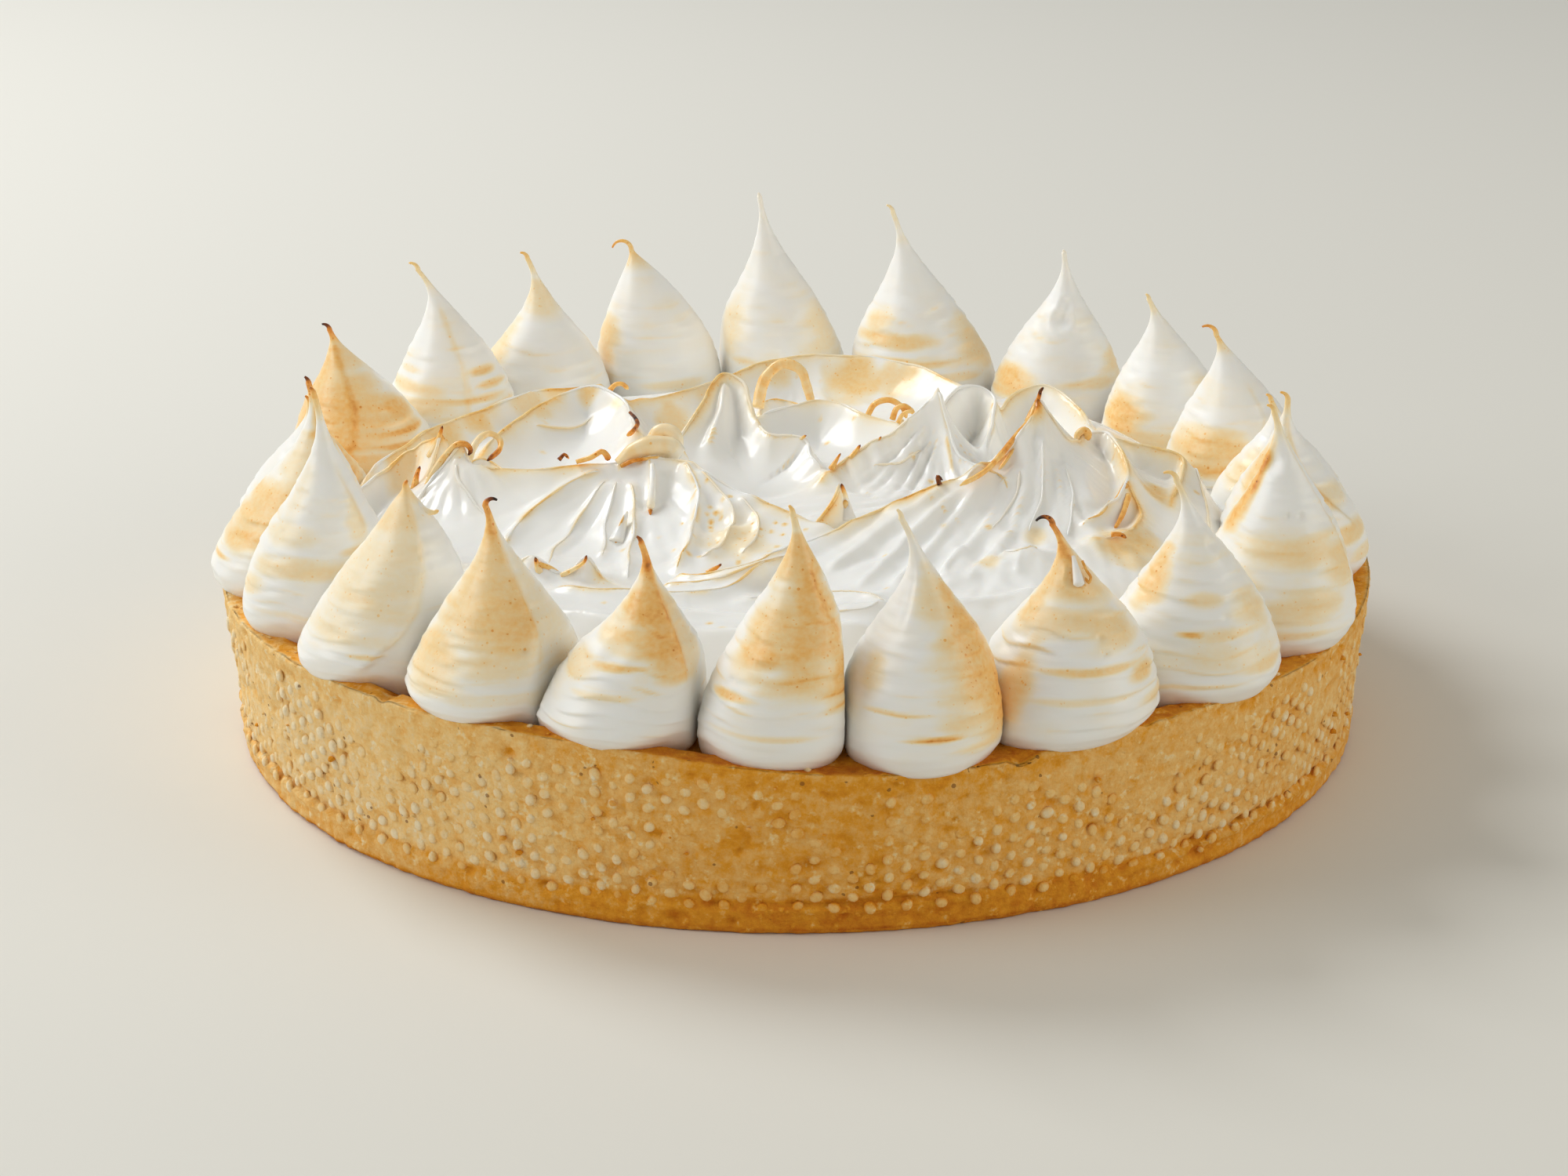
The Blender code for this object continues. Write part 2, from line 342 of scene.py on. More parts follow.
def pastry_material():
    """Baked shortcrust: golden, browner at the top and bottom edges, with a dry crumb, and dark flecks that
    are painted shade in small holes.
    """
    wiring = Wiring("Baked pastry", gloss=0.68, shine=0.22, mark="bake")
    browned = wiring.maths(wiring.mark, "ADD", wiring.ripple(0.68, 430.0, 6.0, 0.72))
    browned = wiring.maths(browned, "ADD", wiring.ripple(0.20, 60.0, 4.0, 0.6))
    crumbs = wiring.maths(wiring.noise(480.0, 3.0, 0.6), "SUBTRACT", 0.57)
    crumbs = wiring.maths(wiring.maths(crumbs, "MULTIPLY", 3.4), "MAXIMUM", 0.0)
    crumbs = wiring.maths(crumbs, "MULTIPLY", wiring.noise(60.0, 2.0))
    browned = wiring.maths(browned, "SUBTRACT", crumbs)
    # Dark flecks: painted shade standing for small holes in the crumb.
    hole_shade = wiring.maths(wiring.specks(380.0, 0.17, wiring.noise(150.0, 2.0), 0.60), "MULTIPLY", 0.7)
    mix = wiring.add("Mix", {})
    mix.data_type = "RGBA"
    # Blender names these sockets A, B and Result for every kind of mix, so they go by number.
    first_colour, second_colour, mixed = 6, 7, 2
    wiring.feed(mix, {"Factor": hole_shade, first_colour: wiring.ramp(browned, BAKED_COLOURS)})
    wiring.feed(mix, {second_colour: linear(*HOLE_SHADE_COLOUR)})
    wiring.feed(wiring.shader, {"Base Color": mix.outputs[mixed]})
    crumb = wiring.maths(wiring.noise(900.0, 6.0, 0.7), "ADD", wiring.noise(330.0, 4.0, 0.6))
    wiring.bump(crumb, strength=0.85, distance=0.7 * MM)
    return wiring.material


def make_crust(material):
    """The whole shell as one skin, from the middle of its base, up its side and over its rim."""
    azimuth = np.linspace(0.0, FULL_TURN, CRUST_COLUMNS, endpoint=False)
    rim = rim_height(azimuth)
    foot = CRUST_RADIUS - FOOT_INSET
    edge_bake_light_and_shade = wall_bake_light_and_shade(azimuth, 0.9, rim)
    rows = []
    bake = []

    def add(radius, height, browned):
        rows.append(wall_places(azimuth, np.broadcast_to(height, azimuth.shape), radius))
        bake.append(np.broadcast_to(browned, azimuth.shape))

    for radius in (1.0, 60.0, 112.0):
        add(radius * MM, 0.0, BASE_BAKE_AND_WELL_SHADE)
    for turn in np.radians((0.0, 25.0, 50.0, 75.0)):
        add(foot - FOOT_ROUND * (1.0 - math.sin(turn)), FOOT_ROUND * (1.0 - math.cos(turn)), BASE_BAKE_AND_WELL_SHADE)
    first_wall_row = len(rows)
    for share in np.linspace(0.03, 0.968, WALL_ROWS):
        add(wall_radius(share), share * rim, wall_bake_light_and_shade(azimuth, share, share * rim))
    last_wall_row = len(rows)
    for turn in np.radians((20.0, 45.0, 70.0, 90.0)):
        radius = CRUST_RADIUS - EDGE_ROUND * (1.0 - math.cos(turn))
        add(radius, rim - EDGE_ROUND * (1.0 - math.sin(turn)), edge_bake_light_and_shade)
    # The flat top of the rim is browner than the side, and darker still towards the front, which is painted
    # shade from the kisses.
    for radius in np.linspace(118.4, 115.0, 7):
        add(radius * MM, rim, edge_bake_light_and_shade + RIM_BAKE + 0.10 * facing_front(azimuth))
    # The slope into the well and its floor, in the deep brown of the base: painted shade for the filling seen
    # between the kisses.
    for radius in (114.2, 113.2, 112.0, 110.0, 100.0, 60.0, 1.0):
        places = wall_places(azimuth, rim, radius * MM)
        add(radius * MM, crust_top(places[:, 0], places[:, 1]), BASE_BAKE_AND_WELL_SHADE)
    grid = np.stack(rows)
    marks = np.stack(bake)
    outward = wall_places(azimuth, np.zeros_like(azimuth), 1.0)
    for row in range(first_wall_row - 3, last_wall_row + 3):
        grid[row] += outward * wall_relief(grid[row])[:, None]
    for row in range(last_wall_row, len(rows)):
        chips = 0.30 * drift(grid[row], 2.2 * MM, 6) + 0.16 * drift(grid[row], 6.0 * MM, 7)
        notches = -0.9 * smooth(drift(grid[row] * (1, 1, 0), 9.0 * MM, 10), 0.42, 0.75)
        grid[row, :, 2] += MM * (chips + notches)
        # Browner in the dips of the chipped rim: painted shade.
        marks[row] += 0.10 * smooth(-chips, 0.0, 0.4)
    pit_crumbs(grid, marks, azimuth, outward, first_wall_row, last_wall_row)
    places = grid.reshape(-1, 3)
    count = len(places)
    faces = grid_faces(len(rows), CRUST_COLUMNS, True)
    faces += end_caps(0, count - CRUST_COLUMNS, CRUST_COLUMNS, count, count + 1)
    places = np.concatenate([places, [[0.0, 0.0, 0.0], [0.0, 0.0, WELL_HEIGHT]]])
    marks = np.concatenate([marks.reshape(-1), [0.6, 0.7]])
    return make_skin("pastry_shell", places, faces, material, {"bake": marks})


def pit_crumbs(grid, marks, azimuth, outward, first, last):
    """Small pits where crumbs stuck to the ring, wider than they are high, and a little browner inside them
    as painted shade.
    """
    random = np.random.default_rng(11)
    for _ in range(CRUMB_PITS):
        turn = random.uniform(0.0, FULL_TURN)
        height = random.uniform(1.5, 33.0) * MM
        width = random.uniform(0.7, 1.0 + 1.6 * random.uniform()) * MM
        depth = random.uniform(0.30, 0.75) * MM
        aside = (azimuth - turn + math.pi) % FULL_TURN - math.pi
        near = np.abs(aside) * CRUST_RADIUS < 3.0 * width
        for row in range(first, last):
            above = (grid[row, near, 2] - height) / (0.6 * width)
            fall = np.exp(-above**2 - (aside[near] * CRUST_RADIUS / width) ** 2)
            grid[row, near] -= outward[near] * (depth * fall)[:, None]
            # Painted shade inside the pit.
            marks[row, near] += 0.08 * fall


pastry = pastry_material()
shell = make_crust(pastry)
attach(shell, "root")
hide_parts("crust")


# ---------------------------------------------------------------------------------------------------
# The dots on the side. The dough was pressed into the holes of the ring, so that pale round studs stand
# out of the crust in staggered columns, crisp in some places and rubbed flat in others.

DOT_COLUMNS = 222
DOT_PITCH = 3.85 * MM
DOT_RADIUS = 1.12 * MM
DOT_FIRST = 5.6 * MM
DOT_ROWS = 7
DOT_SIDES = 10
# Outline of a dot: (share of its radius, share of its height), from its buried edge to its middle. Then
# its rise in mm near the middle and at it, how much paler it is, and how faint the faintest dot is.
DOT_OUTLINE = [(1.12, -1.0), (1.0, 0.0), (0.80, 0.68), (0.45, 0.95)]
DOT_RISE = 0.44
DOT_MIDDLE_RISE = 0.48
DOT_PALER = 0.24
LEAST_CRISP = 0.12


def add_dot(places, faces, bake, middle, turn, size, crisp, browned, wave):
    """One stud: rings that rise to its middle, paler than the wall, and a point inside the wall."""
    stands = float(wall_relief(middle[None])[0])
    out = np.array([math.sin(turn), -math.cos(turn), 0.0])
    side = np.array([math.cos(turn), math.sin(turn), 0.0])
    start = len(places)
    for share, lift in DOT_OUTLINE:
        rise = (DOT_RISE * crisp * lift if lift > 0.0 else 0.35 * lift) * MM
        for angle in np.arange(DOT_SIDES) * FULL_TURN / DOT_SIDES:
            wobble = size * share * (1.0 + 0.10 * math.sin(2.0 * angle + wave))
            place = middle + out * (stands + rise) + side * wobble * math.cos(angle)
            place[2] += wobble * math.sin(angle)
            places.append(place)
            bake.append(browned - DOT_PALER * crisp * (0.3 + 0.7 * max(lift, 0.0)))
    places.append(middle + out * (stands + DOT_MIDDLE_RISE * crisp * MM))
    places.append(middle + out * (stands - 0.4 * MM))
    bake.extend([browned - DOT_PALER * crisp, browned])
    rings = len(DOT_OUTLINE)
    top = start + rings * DOT_SIDES
    faces.extend((np.array(grid_faces(rings, DOT_SIDES, True)) + start).tolist())
    faces.extend(end_caps(start, top - DOT_SIDES, DOT_SIDES, top + 1, top))


def make_dots(material):
    """The studs in staggered columns, left out where the dough did not reach into the holes."""
    random = np.random.default_rng(5)
    places, faces, bake = [], [], []
    for column in range(DOT_COLUMNS):
        for row in range(DOT_ROWS):
            turn = FULL_TURN * (column + random.uniform(-0.06, 0.06)) / DOT_COLUMNS
            height = DOT_FIRST + DOT_PITCH * (row + 0.5 * (column % 2)) + random.uniform(-0.15, 0.15) * MM
            rim = float(rim_height(turn))
            if height > rim - 3.6 * MM:
                continue
            middle = wall_places(np.array([turn]), np.array([height]), wall_radius(height / rim))
            patch = float(drift(middle, 22 * MM, 21)[0] + 0.5 * drift(middle, 7 * MM, 22)[0])
            patch += 0.7 * (0.50 - height / rim)
            crisp = float(smooth(patch, -0.50, 0.30)) * random.uniform(0.55, 1.25)
            if crisp < LEAST_CRISP:
                continue
            size = DOT_RADIUS * random.uniform(0.86, 1.08)
            browned = float(wall_bake_light_and_shade(turn, height / rim, height))
            add_dot(places, faces, bake, middle[0], turn, size, crisp, browned, column)
    return make_skin("ring_dots", places, faces, material, {"bake": bake})


dots = make_dots(pastry)
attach(dots, "root")


# ---------------------------------------------------------------------------------------------------
# The piped kisses. Stiff meringue is pressed from a round nozzle that is lifted away, which leaves fine
# rings, a drawn tip that curls over, and creases. A torch then browns their edges and darkens the tips.

# How deep a kiss sinks into what it stands on.
FLOOR_DEPTH = 0.5 * MM
# Each kiss: azimuth, distance from the axis, belly radius, height of the tip above the table, fullness (a low
# number is a straight cone), shift of the middle and lean of the tip towards +X, and the curl of the
# tip: its length, how far it turns in degrees, and the azimuth it points to.
KISSES = [
    (12.0, 106.8, 16.0, 77.7, 2.20, 2.0, -5.5, 2.0, 50, 270),
    (27.2, 106.3, 17.6, 72.8, 1.95, 4.0, -6.2, 4.2, 150, 270),
    (44.4, 106.0, 17.2, 75.0, 2.15, 1.5, -5.0, 3.4, 120, 270),
    (61.9, 105.2, 16.2, 79.8, 1.85, 3.5, -4.2, 2.4, 90, 270),
    (84.0, 104.5, 15.4, 70.5, 1.95, -4.5, 1.0, 2.6, 90, 270),
    (98.5, 105.0, 14.6, 62.0, 1.80, 0.0, -3.0, 2.0, 80, 290),
    (112.5, 105.0, 15.2, 70.0, 1.55, -1.0, -4.2, 4.4, 120, 270),
    (127.3, 105.5, 14.7, 70.6, 1.66, -0.3, -4.2, 1.6, 60, 270),
    (145.3, 105.8, 15.8, 74.8, 1.90, 3.7, -2.0, 0.8, 30, 270),
    (163.1, 105.6, 17.5, 82.0, 2.20, -5.1, -2.8, 2.6, 80, 270),
    (181.6, 105.5, 16.0, 83.9, 2.00, -4.7, -0.8, 1.0, 40, 270),
    (197.3, 105.8, 15.6, 73.6, 1.08, -4.5, -2.6, 6.5, 165, 270),
    (214.7, 106.0, 17.0, 74.4, 2.20, 3.0, -4.6, 2.4, 100, 270),
    (228.7, 106.0, 15.8, 76.6, 1.94, 1.5, -7.2, 3.0, 100, 270),
    (245.0, 103.5, 16.6, 69.8, 1.60, -6.5, -2.0, 2.4, 100, 270),
    (262.3, 105.0, 14.8, 62.5, 1.80, 1.0, 0.0, 2.0, 60, 270),
    (280.8, 106.4, 16.2, 77.0, 2.30, 11.0, -4.5, 1.6, 60, 270),
    (295.1, 105.0, 15.3, 82.2, 2.40, 5.2, -3.6, 1.4, 60, 270),
    (310.6, 106.0, 15.8, 71.4, 1.15, 10.5, -3.5, 1.0, 50, 90),
    (327.8, 105.2, 16.7, 74.6, 2.00, 3.0, -3.6, 3.0, 130, 90),
    (342.1, 105.6, 16.4, 71.3, 2.20, 9.5, -4.8, 1.8, 60, 270),
    (357.6, 106.1, 14.7, 79.0, 1.75, 8.0, -4.2, 1.6, 50, 270),
]
# How strongly each kiss in turn is ringed, and how dark the torch left its tip.
RINGED = [0.45, 1.0, 0.9, 0.7, 0.7, 0.5, 0.6, 0.4, 0.5, 0.6, 0.3, 0.3, 0.3, 0.6, 0.7, 0.5, 0.5, 0.5,
          0.45, 0.4, 0.7, 0.75]
TIPPED = [0.30, 1.0, 0.45, 0.50, 0.55, 0.6, 0.65, 0.40, 0.15, 0.30, 0.12, 0.60, 0.55, 0.45, 1.0, 0.7, 1.0,
          0.75, 0.70, 0.95, 0.85, 0.50]
# Where the torch browned each kiss, by number. Each patch: the direction that it faces in degrees (0 is
# -Y, 90 is +X), its level as a share of the height, how far it spreads each way, and how brown it is.
BROWNED = {
    1: [(60, 0.42, 46, 0.34, 0.44), (80, 0.22, 30, 0.14, 0.46), (-48, 0.40, 12, 0.08, 0.20),
        (10, 0.175, 20, 0.012, 0.62), (-20, 0.27, 26, 0.010, 0.36), (30, 0.70, 50, 0.14, 0.24),
        (45, 0.12, 24, 0.02, 0.34)],
    2: [(0, 0.80, 180, 0.14, 0.36), (-8, 0.90, 90, 0.10, 0.52), (14, 0.79, 12, 0.05, 0.20),
        (-42, 0.33, 14, 0.18, 0.32), (20, 0.40, 52, 0.018, 0.38), (60, 0.35, 16, 0.04, 0.40),
        (-10, 0.60, 70, 0.06, 0.28), (46, 0.55, 40, 0.08, 0.30), (-70, 0.62, 24, 0.12, 0.34),
        (10, 0.27, 50, 0.02, 0.20), (70, 0.20, 20, 0.04, 0.28)],
    3: [(-62, 0.60, 26, 0.14, 0.40), (4, 0.51, 22, 0.035, 0.24), (-6, 0.375, 12, 0.008, 0.58),
        (24, 0.37, 34, 0.03, 0.24), (52, 0.20, 30, 0.04, 0.30), (-8, 0.12, 40, 0.016, 0.26),
        (16, 0.27, 60, 0.08, 0.17), (56, 0.45, 26, 0.10, 0.26)],
    4: [(6, 0.47, 60, 0.07, 0.28), (16, 0.24, 32, 0.10, 0.27), (-78, 0.70, 20, 0.20, 0.50),
        (60, 0.40, 30, 0.12, 0.30), (-40, 0.33, 24, 0.05, 0.26), (0, 0.12, 50, 0.02, 0.28)],
    5: [(40, 0.50, 50, 0.06, 0.30), (46, 0.30, 50, 0.06, 0.34), (-60, 0.60, 30, 0.20, 0.36),
        (64, 0.16, 30, 0.04, 0.26)],
    6: [(-40, 0.50, 60, 0.14, 0.34), (40, 0.30, 60, 0.10, 0.30)],
    7: [(-35, 0.36, 50, 0.12, 0.38), (20, 0.26, 44, 0.014, 0.66), (-20, 0.24, 60, 0.05, 0.40),
        (50, 0.40, 30, 0.10, 0.24)],
    8: [(-58, 0.34, 36, 0.14, 0.42), (-20, 0.22, 40, 0.07, 0.28), (50, 0.50, 24, 0.10, 0.16)],
    9: [(-62, 0.34, 34, 0.07, 0.42), (-40, 0.26, 44, 0.04, 0.34), (30, 0.33, 40, 0.03, 0.24),
        (70, 0.40, 24, 0.10, 0.26)],
    10: [(-30, 0.42, 46, 0.035, 0.36), (-10, 0.32, 60, 0.020, 0.38), (70, 0.36, 30, 0.14, 0.30),
         (-50, 0.50, 26, 0.06, 0.28), (20, 0.25, 50, 0.02, 0.24)],
    11: [(-60, 0.42, 30, 0.18, 0.20), (60, 0.38, 34, 0.14, 0.20), (-30, 0.28, 24, 0.02, 0.26)],
    12: [(-64, 0.50, 26, 0.14, 0.32), (20, 0.26, 30, 0.03, 0.20)],
    13: [(-70, 0.50, 30, 0.20, 0.24), (0, 0.80, 180, 0.10, 0.22), (10, 0.24, 60, 0.03, 0.18)],
    14: [(-40, 0.42, 60, 0.035, 0.28), (30, 0.36, 44, 0.02, 0.40), (50, 0.49, 26, 0.022, 0.42),
         (-30, 0.33, 50, 0.05, 0.26), (60, 0.30, 24, 0.04, 0.40), (56, 0.42, 22, 0.016, 0.44),
         (-56, 0.50, 26, 0.02, 0.20), (20, 0.27, 40, 0.03, 0.22)],
    15: [(-36, 0.56, 90, 0.40, 0.40), (24, 0.60, 50, 0.24, 0.36), (58, 0.56, 34, 0.10, 0.46),
         (50, 0.43, 34, 0.022, 0.58), (40, 0.36, 30, 0.018, 0.52), (30, 0.86, 150, 0.10, 0.32),
         (-20, 0.32, 40, 0.10, 0.24), (10, 0.28, 30, 0.08, 0.34), (60, 0.28, 30, 0.02, 0.36)],
    16: [(60, 0.60, 60, 0.24, 0.42), (0, 0.40, 60, 0.14, 0.36)],
    17: [(-25, 0.43, 80, 0.18, 0.36), (-50, 0.30, 36, 0.05, 0.34), (-10, 0.66, 70, 0.14, 0.22),
         (-70, 0.20, 20, 0.014, 0.44), (-30, 0.33, 50, 0.016, 0.36), (50, 0.80, 60, 0.14, 0.44)],
    18: [(-14, 0.34, 62, 0.045, 0.27), (-36, 0.46, 46, 0.05, 0.17), (-46, 0.60, 30, 0.14, 0.14),
         (46, 0.52, 14, 0.10, 0.20), (-66, 0.24, 22, 0.05, 0.22), (44, 0.40, 20, 0.02, 0.30),
         (8, 0.14, 50, 0.02, 0.16), (-10, 0.31, 34, 0.014, 0.16)],
    19: [(-24, 0.62, 80, 0.34, 0.19), (-34, 0.505, 40, 0.035, 0.24), (-8, 0.23, 14, 0.018, 0.30),
         (-46, 0.33, 40, 0.06, 0.20), (0, 0.90, 180, 0.12, 0.26), (-30, 0.72, 50, 0.05, 0.18)],
    20: [(-14, 0.68, 80, 0.34, 0.34), (-54, 0.34, 36, 0.18, 0.30), (-4, 0.92, 100, 0.12, 0.46),
         (16, 0.50, 30, 0.14, 0.36), (70, 0.55, 44, 0.30, 0.28), (0, 0.34, 40, 0.08, 0.20),
         (10, 0.18, 60, 0.05, 0.14)],
    21: [(4, 0.76, 90, 0.22, 0.46), (20, 0.60, 44, 0.12, 0.42), (-14, 0.475, 34, 0.018, 0.42),
         (30, 0.48, 26, 0.09, 0.36), (-20, 0.35, 30, 0.020, 0.22), (-66, 0.44, 26, 0.08, 0.24),
         (66, 0.60, 24, 0.22, 0.38), (0, 0.94, 180, 0.10, 0.54)],
    22: [(26, 0.60, 56, 0.26, 0.42), (-36, 0.47, 36, 0.09, 0.38), (-20, 0.60, 50, 0.16, 0.34),
         (60, 0.38, 28, 0.14, 0.42), (-48, 0.31, 24, 0.018, 0.42), (58, 0.27, 20, 0.014, 0.46),
         (10, 0.40, 34, 0.06, 0.34), (0, 0.86, 180, 0.14, 0.38), (-10, 0.16, 40, 0.016, 0.24),
         (52, 0.32, 22, 0.014, 0.52)],
}
# Creases and folds that run down a kiss, by number: the line (direction, level), the height of the step
# beside it in mm, how brown its edge is, and how much paler the kiss is beyond it.
CREASED = {
    1: [([(-20, 0.86), (-26, 0.70), (-30, 0.58)], -0.25, 0.0, 0.0)],
    2: [([(10, 0.93), (16, 0.84), (8, 0.76)], 0.35, 0.05, 0.2)],
    3: [([(50, 0.78), (44, 0.66)], 0.20, 0.0, 0.0)],
    4: [([(40, 0.92), (56, 0.72), (66, 0.50), (72, 0.30)], 0.60, 0.15, 0.2),
        ([(-60, 0.90), (-66, 0.74), (-62, 0.60)], 0.50, 0.2, 0.9)],
    5: [([(-20, 0.92), (10, 0.74), (26, 0.56), (54, 0.36)], 1.20, 0.20, 0.3)],
    7: [([(30, 0.70), (34, 0.55), (20, 0.40)], 0.35, 0.1, 0.2)],
    14: [([(8, 0.80), (22, 0.55), (24, 0.40), (20, 0.28)], 0.35, 0.12, 0.0)],
    15: [([(-10, 0.92), (4, 0.74), (8, 0.60), (2, 0.44), (-10, 0.26)], 0.60, 0.12, 0.15)],
    17: [([(60, 0.95), (64, 0.80), (60, 0.62)], 0.40, 0.25, 0.0)],
    18: [([(40, 0.70), (52, 0.60), (56, 0.48)], 0.40, 0.10, 0.3)],
    19: [([(4, 0.95), (22, 0.80), (26, 0.62), (24, 0.44), (2, 0.26), (-6, 0.14)], 1.50, 0.03, 0.55)],
    20: [([(10, 0.92), (26, 0.78), (36, 0.62), (40, 0.46), (42, 0.32)], 1.40, 0.06, 0.40)],
    21: [([(24, 0.90), (34, 0.76), (44, 0.60), (46, 0.40)], 1.10, 0.10, 0.45)],
    22: [([(34, 0.78), (44, 0.64), (60, 0.52)], 0.30, 0.12, 0.0)],
}
# Dents and burst bubbles, by number: direction, level, half width and depth in mm.
DENTED = {
    2: [(4, 0.76, 1.1, 1.1), (2, 0.80, 0.7, 0.8), (24, 0.53, 0.6, 0.5), (25, 0.47, 0.6, 0.5)],
    3: [(40, 0.72, 0.9, 0.4), (22, 0.44, 0.6, 0.4)],
    4: [(-40, 0.80, 1.6, 0.7), (0, 0.60, 0.6, 0.5), (16, 0.60, 0.6, 0.4)],
    9: [(-8, 0.66, 1.7, 1.4), (-2, 0.73, 1.2, 0.9)],
    17: [(-40, 0.38, 0.6, 0.4)],
    18: [(-46, 0.46, 0.6, 0.4), (-10, 0.24, 0.6, 0.4)],
    20: [(24, 0.42, 0.6, 0.5)],
    21: [(-30, 0.52, 2.0, 0.4)],
    22: [(-52, 0.36, 0.8, 0.4)],
}
# Points round a kiss and up it, fewer at the back, and how many of those up it are in the curl.
KISS_COLUMNS, KISS_ROWS = 104, 112
BACK_COLUMNS, BACK_ROWS = 80, 84
CURL_ROWS = 12
# The outline: the level of the belly, the foot as a share of it, and the drawn tip and its taper.
BELLY_SHARE = 0.12
FOOT_WIDTH = 0.84
TIP_WIDTH = 0.75 * MM
TIP_TAPER = 0.65
# In mm: the rise between two piping rings, the edge of a ring, its fine lines, the soft and small lumps
# of the surface, and the height of a usual kiss, which sets the size of its dents.
RING_PITCH = 3.1
RING_EDGE = 0.62
FINE_LINES = 0.14
SOFT_LUMPS = 0.75
SMALL_LUMPS = 0.22
USUAL_HEIGHT = 44.0
# How round the edge is where two kisses press together, and the brownest that their sides get.
PRESSED_EDGE = 0.7 * MM
MOST_TOAST = 0.66
TOASTED_COLOURS = [
    (0.0, (250, 250, 246)), (0.08, (253, 247, 235)), (0.20, (255, 236, 202)), (0.36, (255, 218, 158)),
    (0.50, (253, 194, 110)), (0.66, (226, 142, 50)), (0.82, (136, 72, 24)), (1.0, (34, 18, 8)),
]
# Brown specks of the torch: how many to the metre, how large, how rare and how dark they are.
SPECKS = [(420.0, 0.12, 0.58, 0.18), (900.0, 0.20, 0.55, 0.14)]


def meringue_material(name, gloss, shine, piped_lines):
    """Torched meringue. The mark named toast says how brown it is, from white to almost black."""
    wiring = Wiring(name, gloss, shine, "toast")
    wiring.feed(wiring.shader, {"Subsurface Weight": 0.25, "Subsurface Radius": (1.0, 0.85, 0.7)})
    wiring.feed(wiring.shader, {"Subsurface Scale": 1.6 * MM})
    streaks = wiring.ripple(0.38, 80.0, 4.0, 0.5, 1.0 + 4.0 * piped_lines)
    grain = wiring.ripple(0.55, 900.0, 3.0, 0.5, 1.2)
    spread = wiring.maths(wiring.maths(streaks, "ADD", grain), "MULTIPLY", wiring.mark)
    browned = wiring.maths(wiring.mark, "ADD", spread)
    warm = wiring.maths(wiring.mark, "GREATER_THAN", 0.12)
    for scale, size, share, strength in SPECKS:
        specks = wiring.specks(scale, size, wiring.noise(0.5 * scale, 1.0), share)
        specks = wiring.maths(specks, "MULTIPLY", wiring.maths(warm, "MULTIPLY", strength))
        browned = wiring.maths(browned, "ADD", specks)
    wiring.feed(wiring.shader, {"Base Color": wiring.ramp(browned, TOASTED_COLOURS)})
    lines = wiring.noise(150.0, 5.0, 0.5, 1.0 + 5.0 * piped_lines)
    fine = wiring.maths(lines, "ADD", wiring.maths(wiring.noise(700.0, 2.0), "MULTIPLY", 0.35))
    wiring.bump(fine, strength=0.05 + 0.15 * piped_lines, distance=0.25 * MM)
    return wiring.material


def kiss_width(share, fullness):
    """Half width of a kiss, as a share of its belly, at a share of its height."""
    above = np.clip((share - BELLY_SHARE) / (1.0 - BELLY_SHARE), 0.0, 1.0)
    cone = (1.0 - above**2) ** fullness
    below = np.clip(share / BELLY_SHARE, 0.0, 1.0)
    foot = FOOT_WIDTH + (1.0 - FOOT_WIDTH) * np.sin(0.5 * math.pi * below)
    return np.where(share > BELLY_SHARE, cone, foot)


def turned_from(facing, direction):
    """Degrees from one direction to others, from -180 to 180."""
    return (facing - direction + 180.0) % 360.0 - 180.0


def press_flat(places, index, side):
    """Pushes a kiss back, with a soft edge, from the plane where it meets its neighbour on that side."""
    azimuth, _, radius = KISSES[index][:3]
    beside, _, other_radius = KISSES[(index + side) % len(KISSES)][:3]
    plane = math.radians(azimuth + turned_from(beside, azimuth) * radius / (radius + other_radius))
    across = np.array([side * math.cos(plane), side * math.sin(plane), 0.0])
    beyond = places @ across + 0.1 * MM
    kept = -PRESSED_EDGE * np.logaddexp(0.0, -beyond / PRESSED_EDGE)
    return places + (kept - beyond)[:, None] * across


def crease_kiss(number, facing, share, width):
    """How far the creases and dents of a kiss move its surface, in mm, the torch's mark on them, and
    how much of the mark is missing beyond them."""
    relief, toast, paler = np.zeros((3, len(share)))
    for line, step, brown, missing in CREASED.get(number, []):
        levels = [level for _, level in line]
        directions = [direction for direction, _ in line]
        direction = np.interp(-share, [-level for level in levels], directions)
        aside = np.radians(turned_from(facing, direction)) * width / MM
        ends = smooth(share, levels[-1] - 0.06, levels[-1] + 0.05)
        ends = ends * smooth(levels[0] + 0.05 - share, 0.0, 0.08)
        fold = (1.0 - smooth(aside, -0.6, 0.6)) * np.exp(-np.abs(aside) / 6.0)
        beyond = smooth(aside, -0.5, 1.6) * ends
        relief += step * (ends * fold - 0.55 * beyond * np.exp(-np.abs(aside) / 3.5))
        toast = np.maximum(toast, brown * ends * np.exp(-((aside - 0.15) / 0.80) ** 2))
        paler = np.maximum(paler, missing * beyond)
    for direction, level, half_width, depth in DENTED.get(number, []):
        aside = np.radians(turned_from(facing, direction)) * width / MM
        above = (share - level) * USUAL_HEIGHT
        away = np.hypot(aside, above) / half_width
        relief -= depth * np.exp(-away**2)
        relief += 0.25 * depth * np.exp(-((away - 1.7) / 0.5) ** 2)
    return relief, toast, paler


def compass(degrees):
    """The level direction at an azimuth, which starts at -Y and turns towards +X."""
    return np.array([math.sin(math.radians(degrees)), -math.cos(math.radians(degrees)), 0.0])


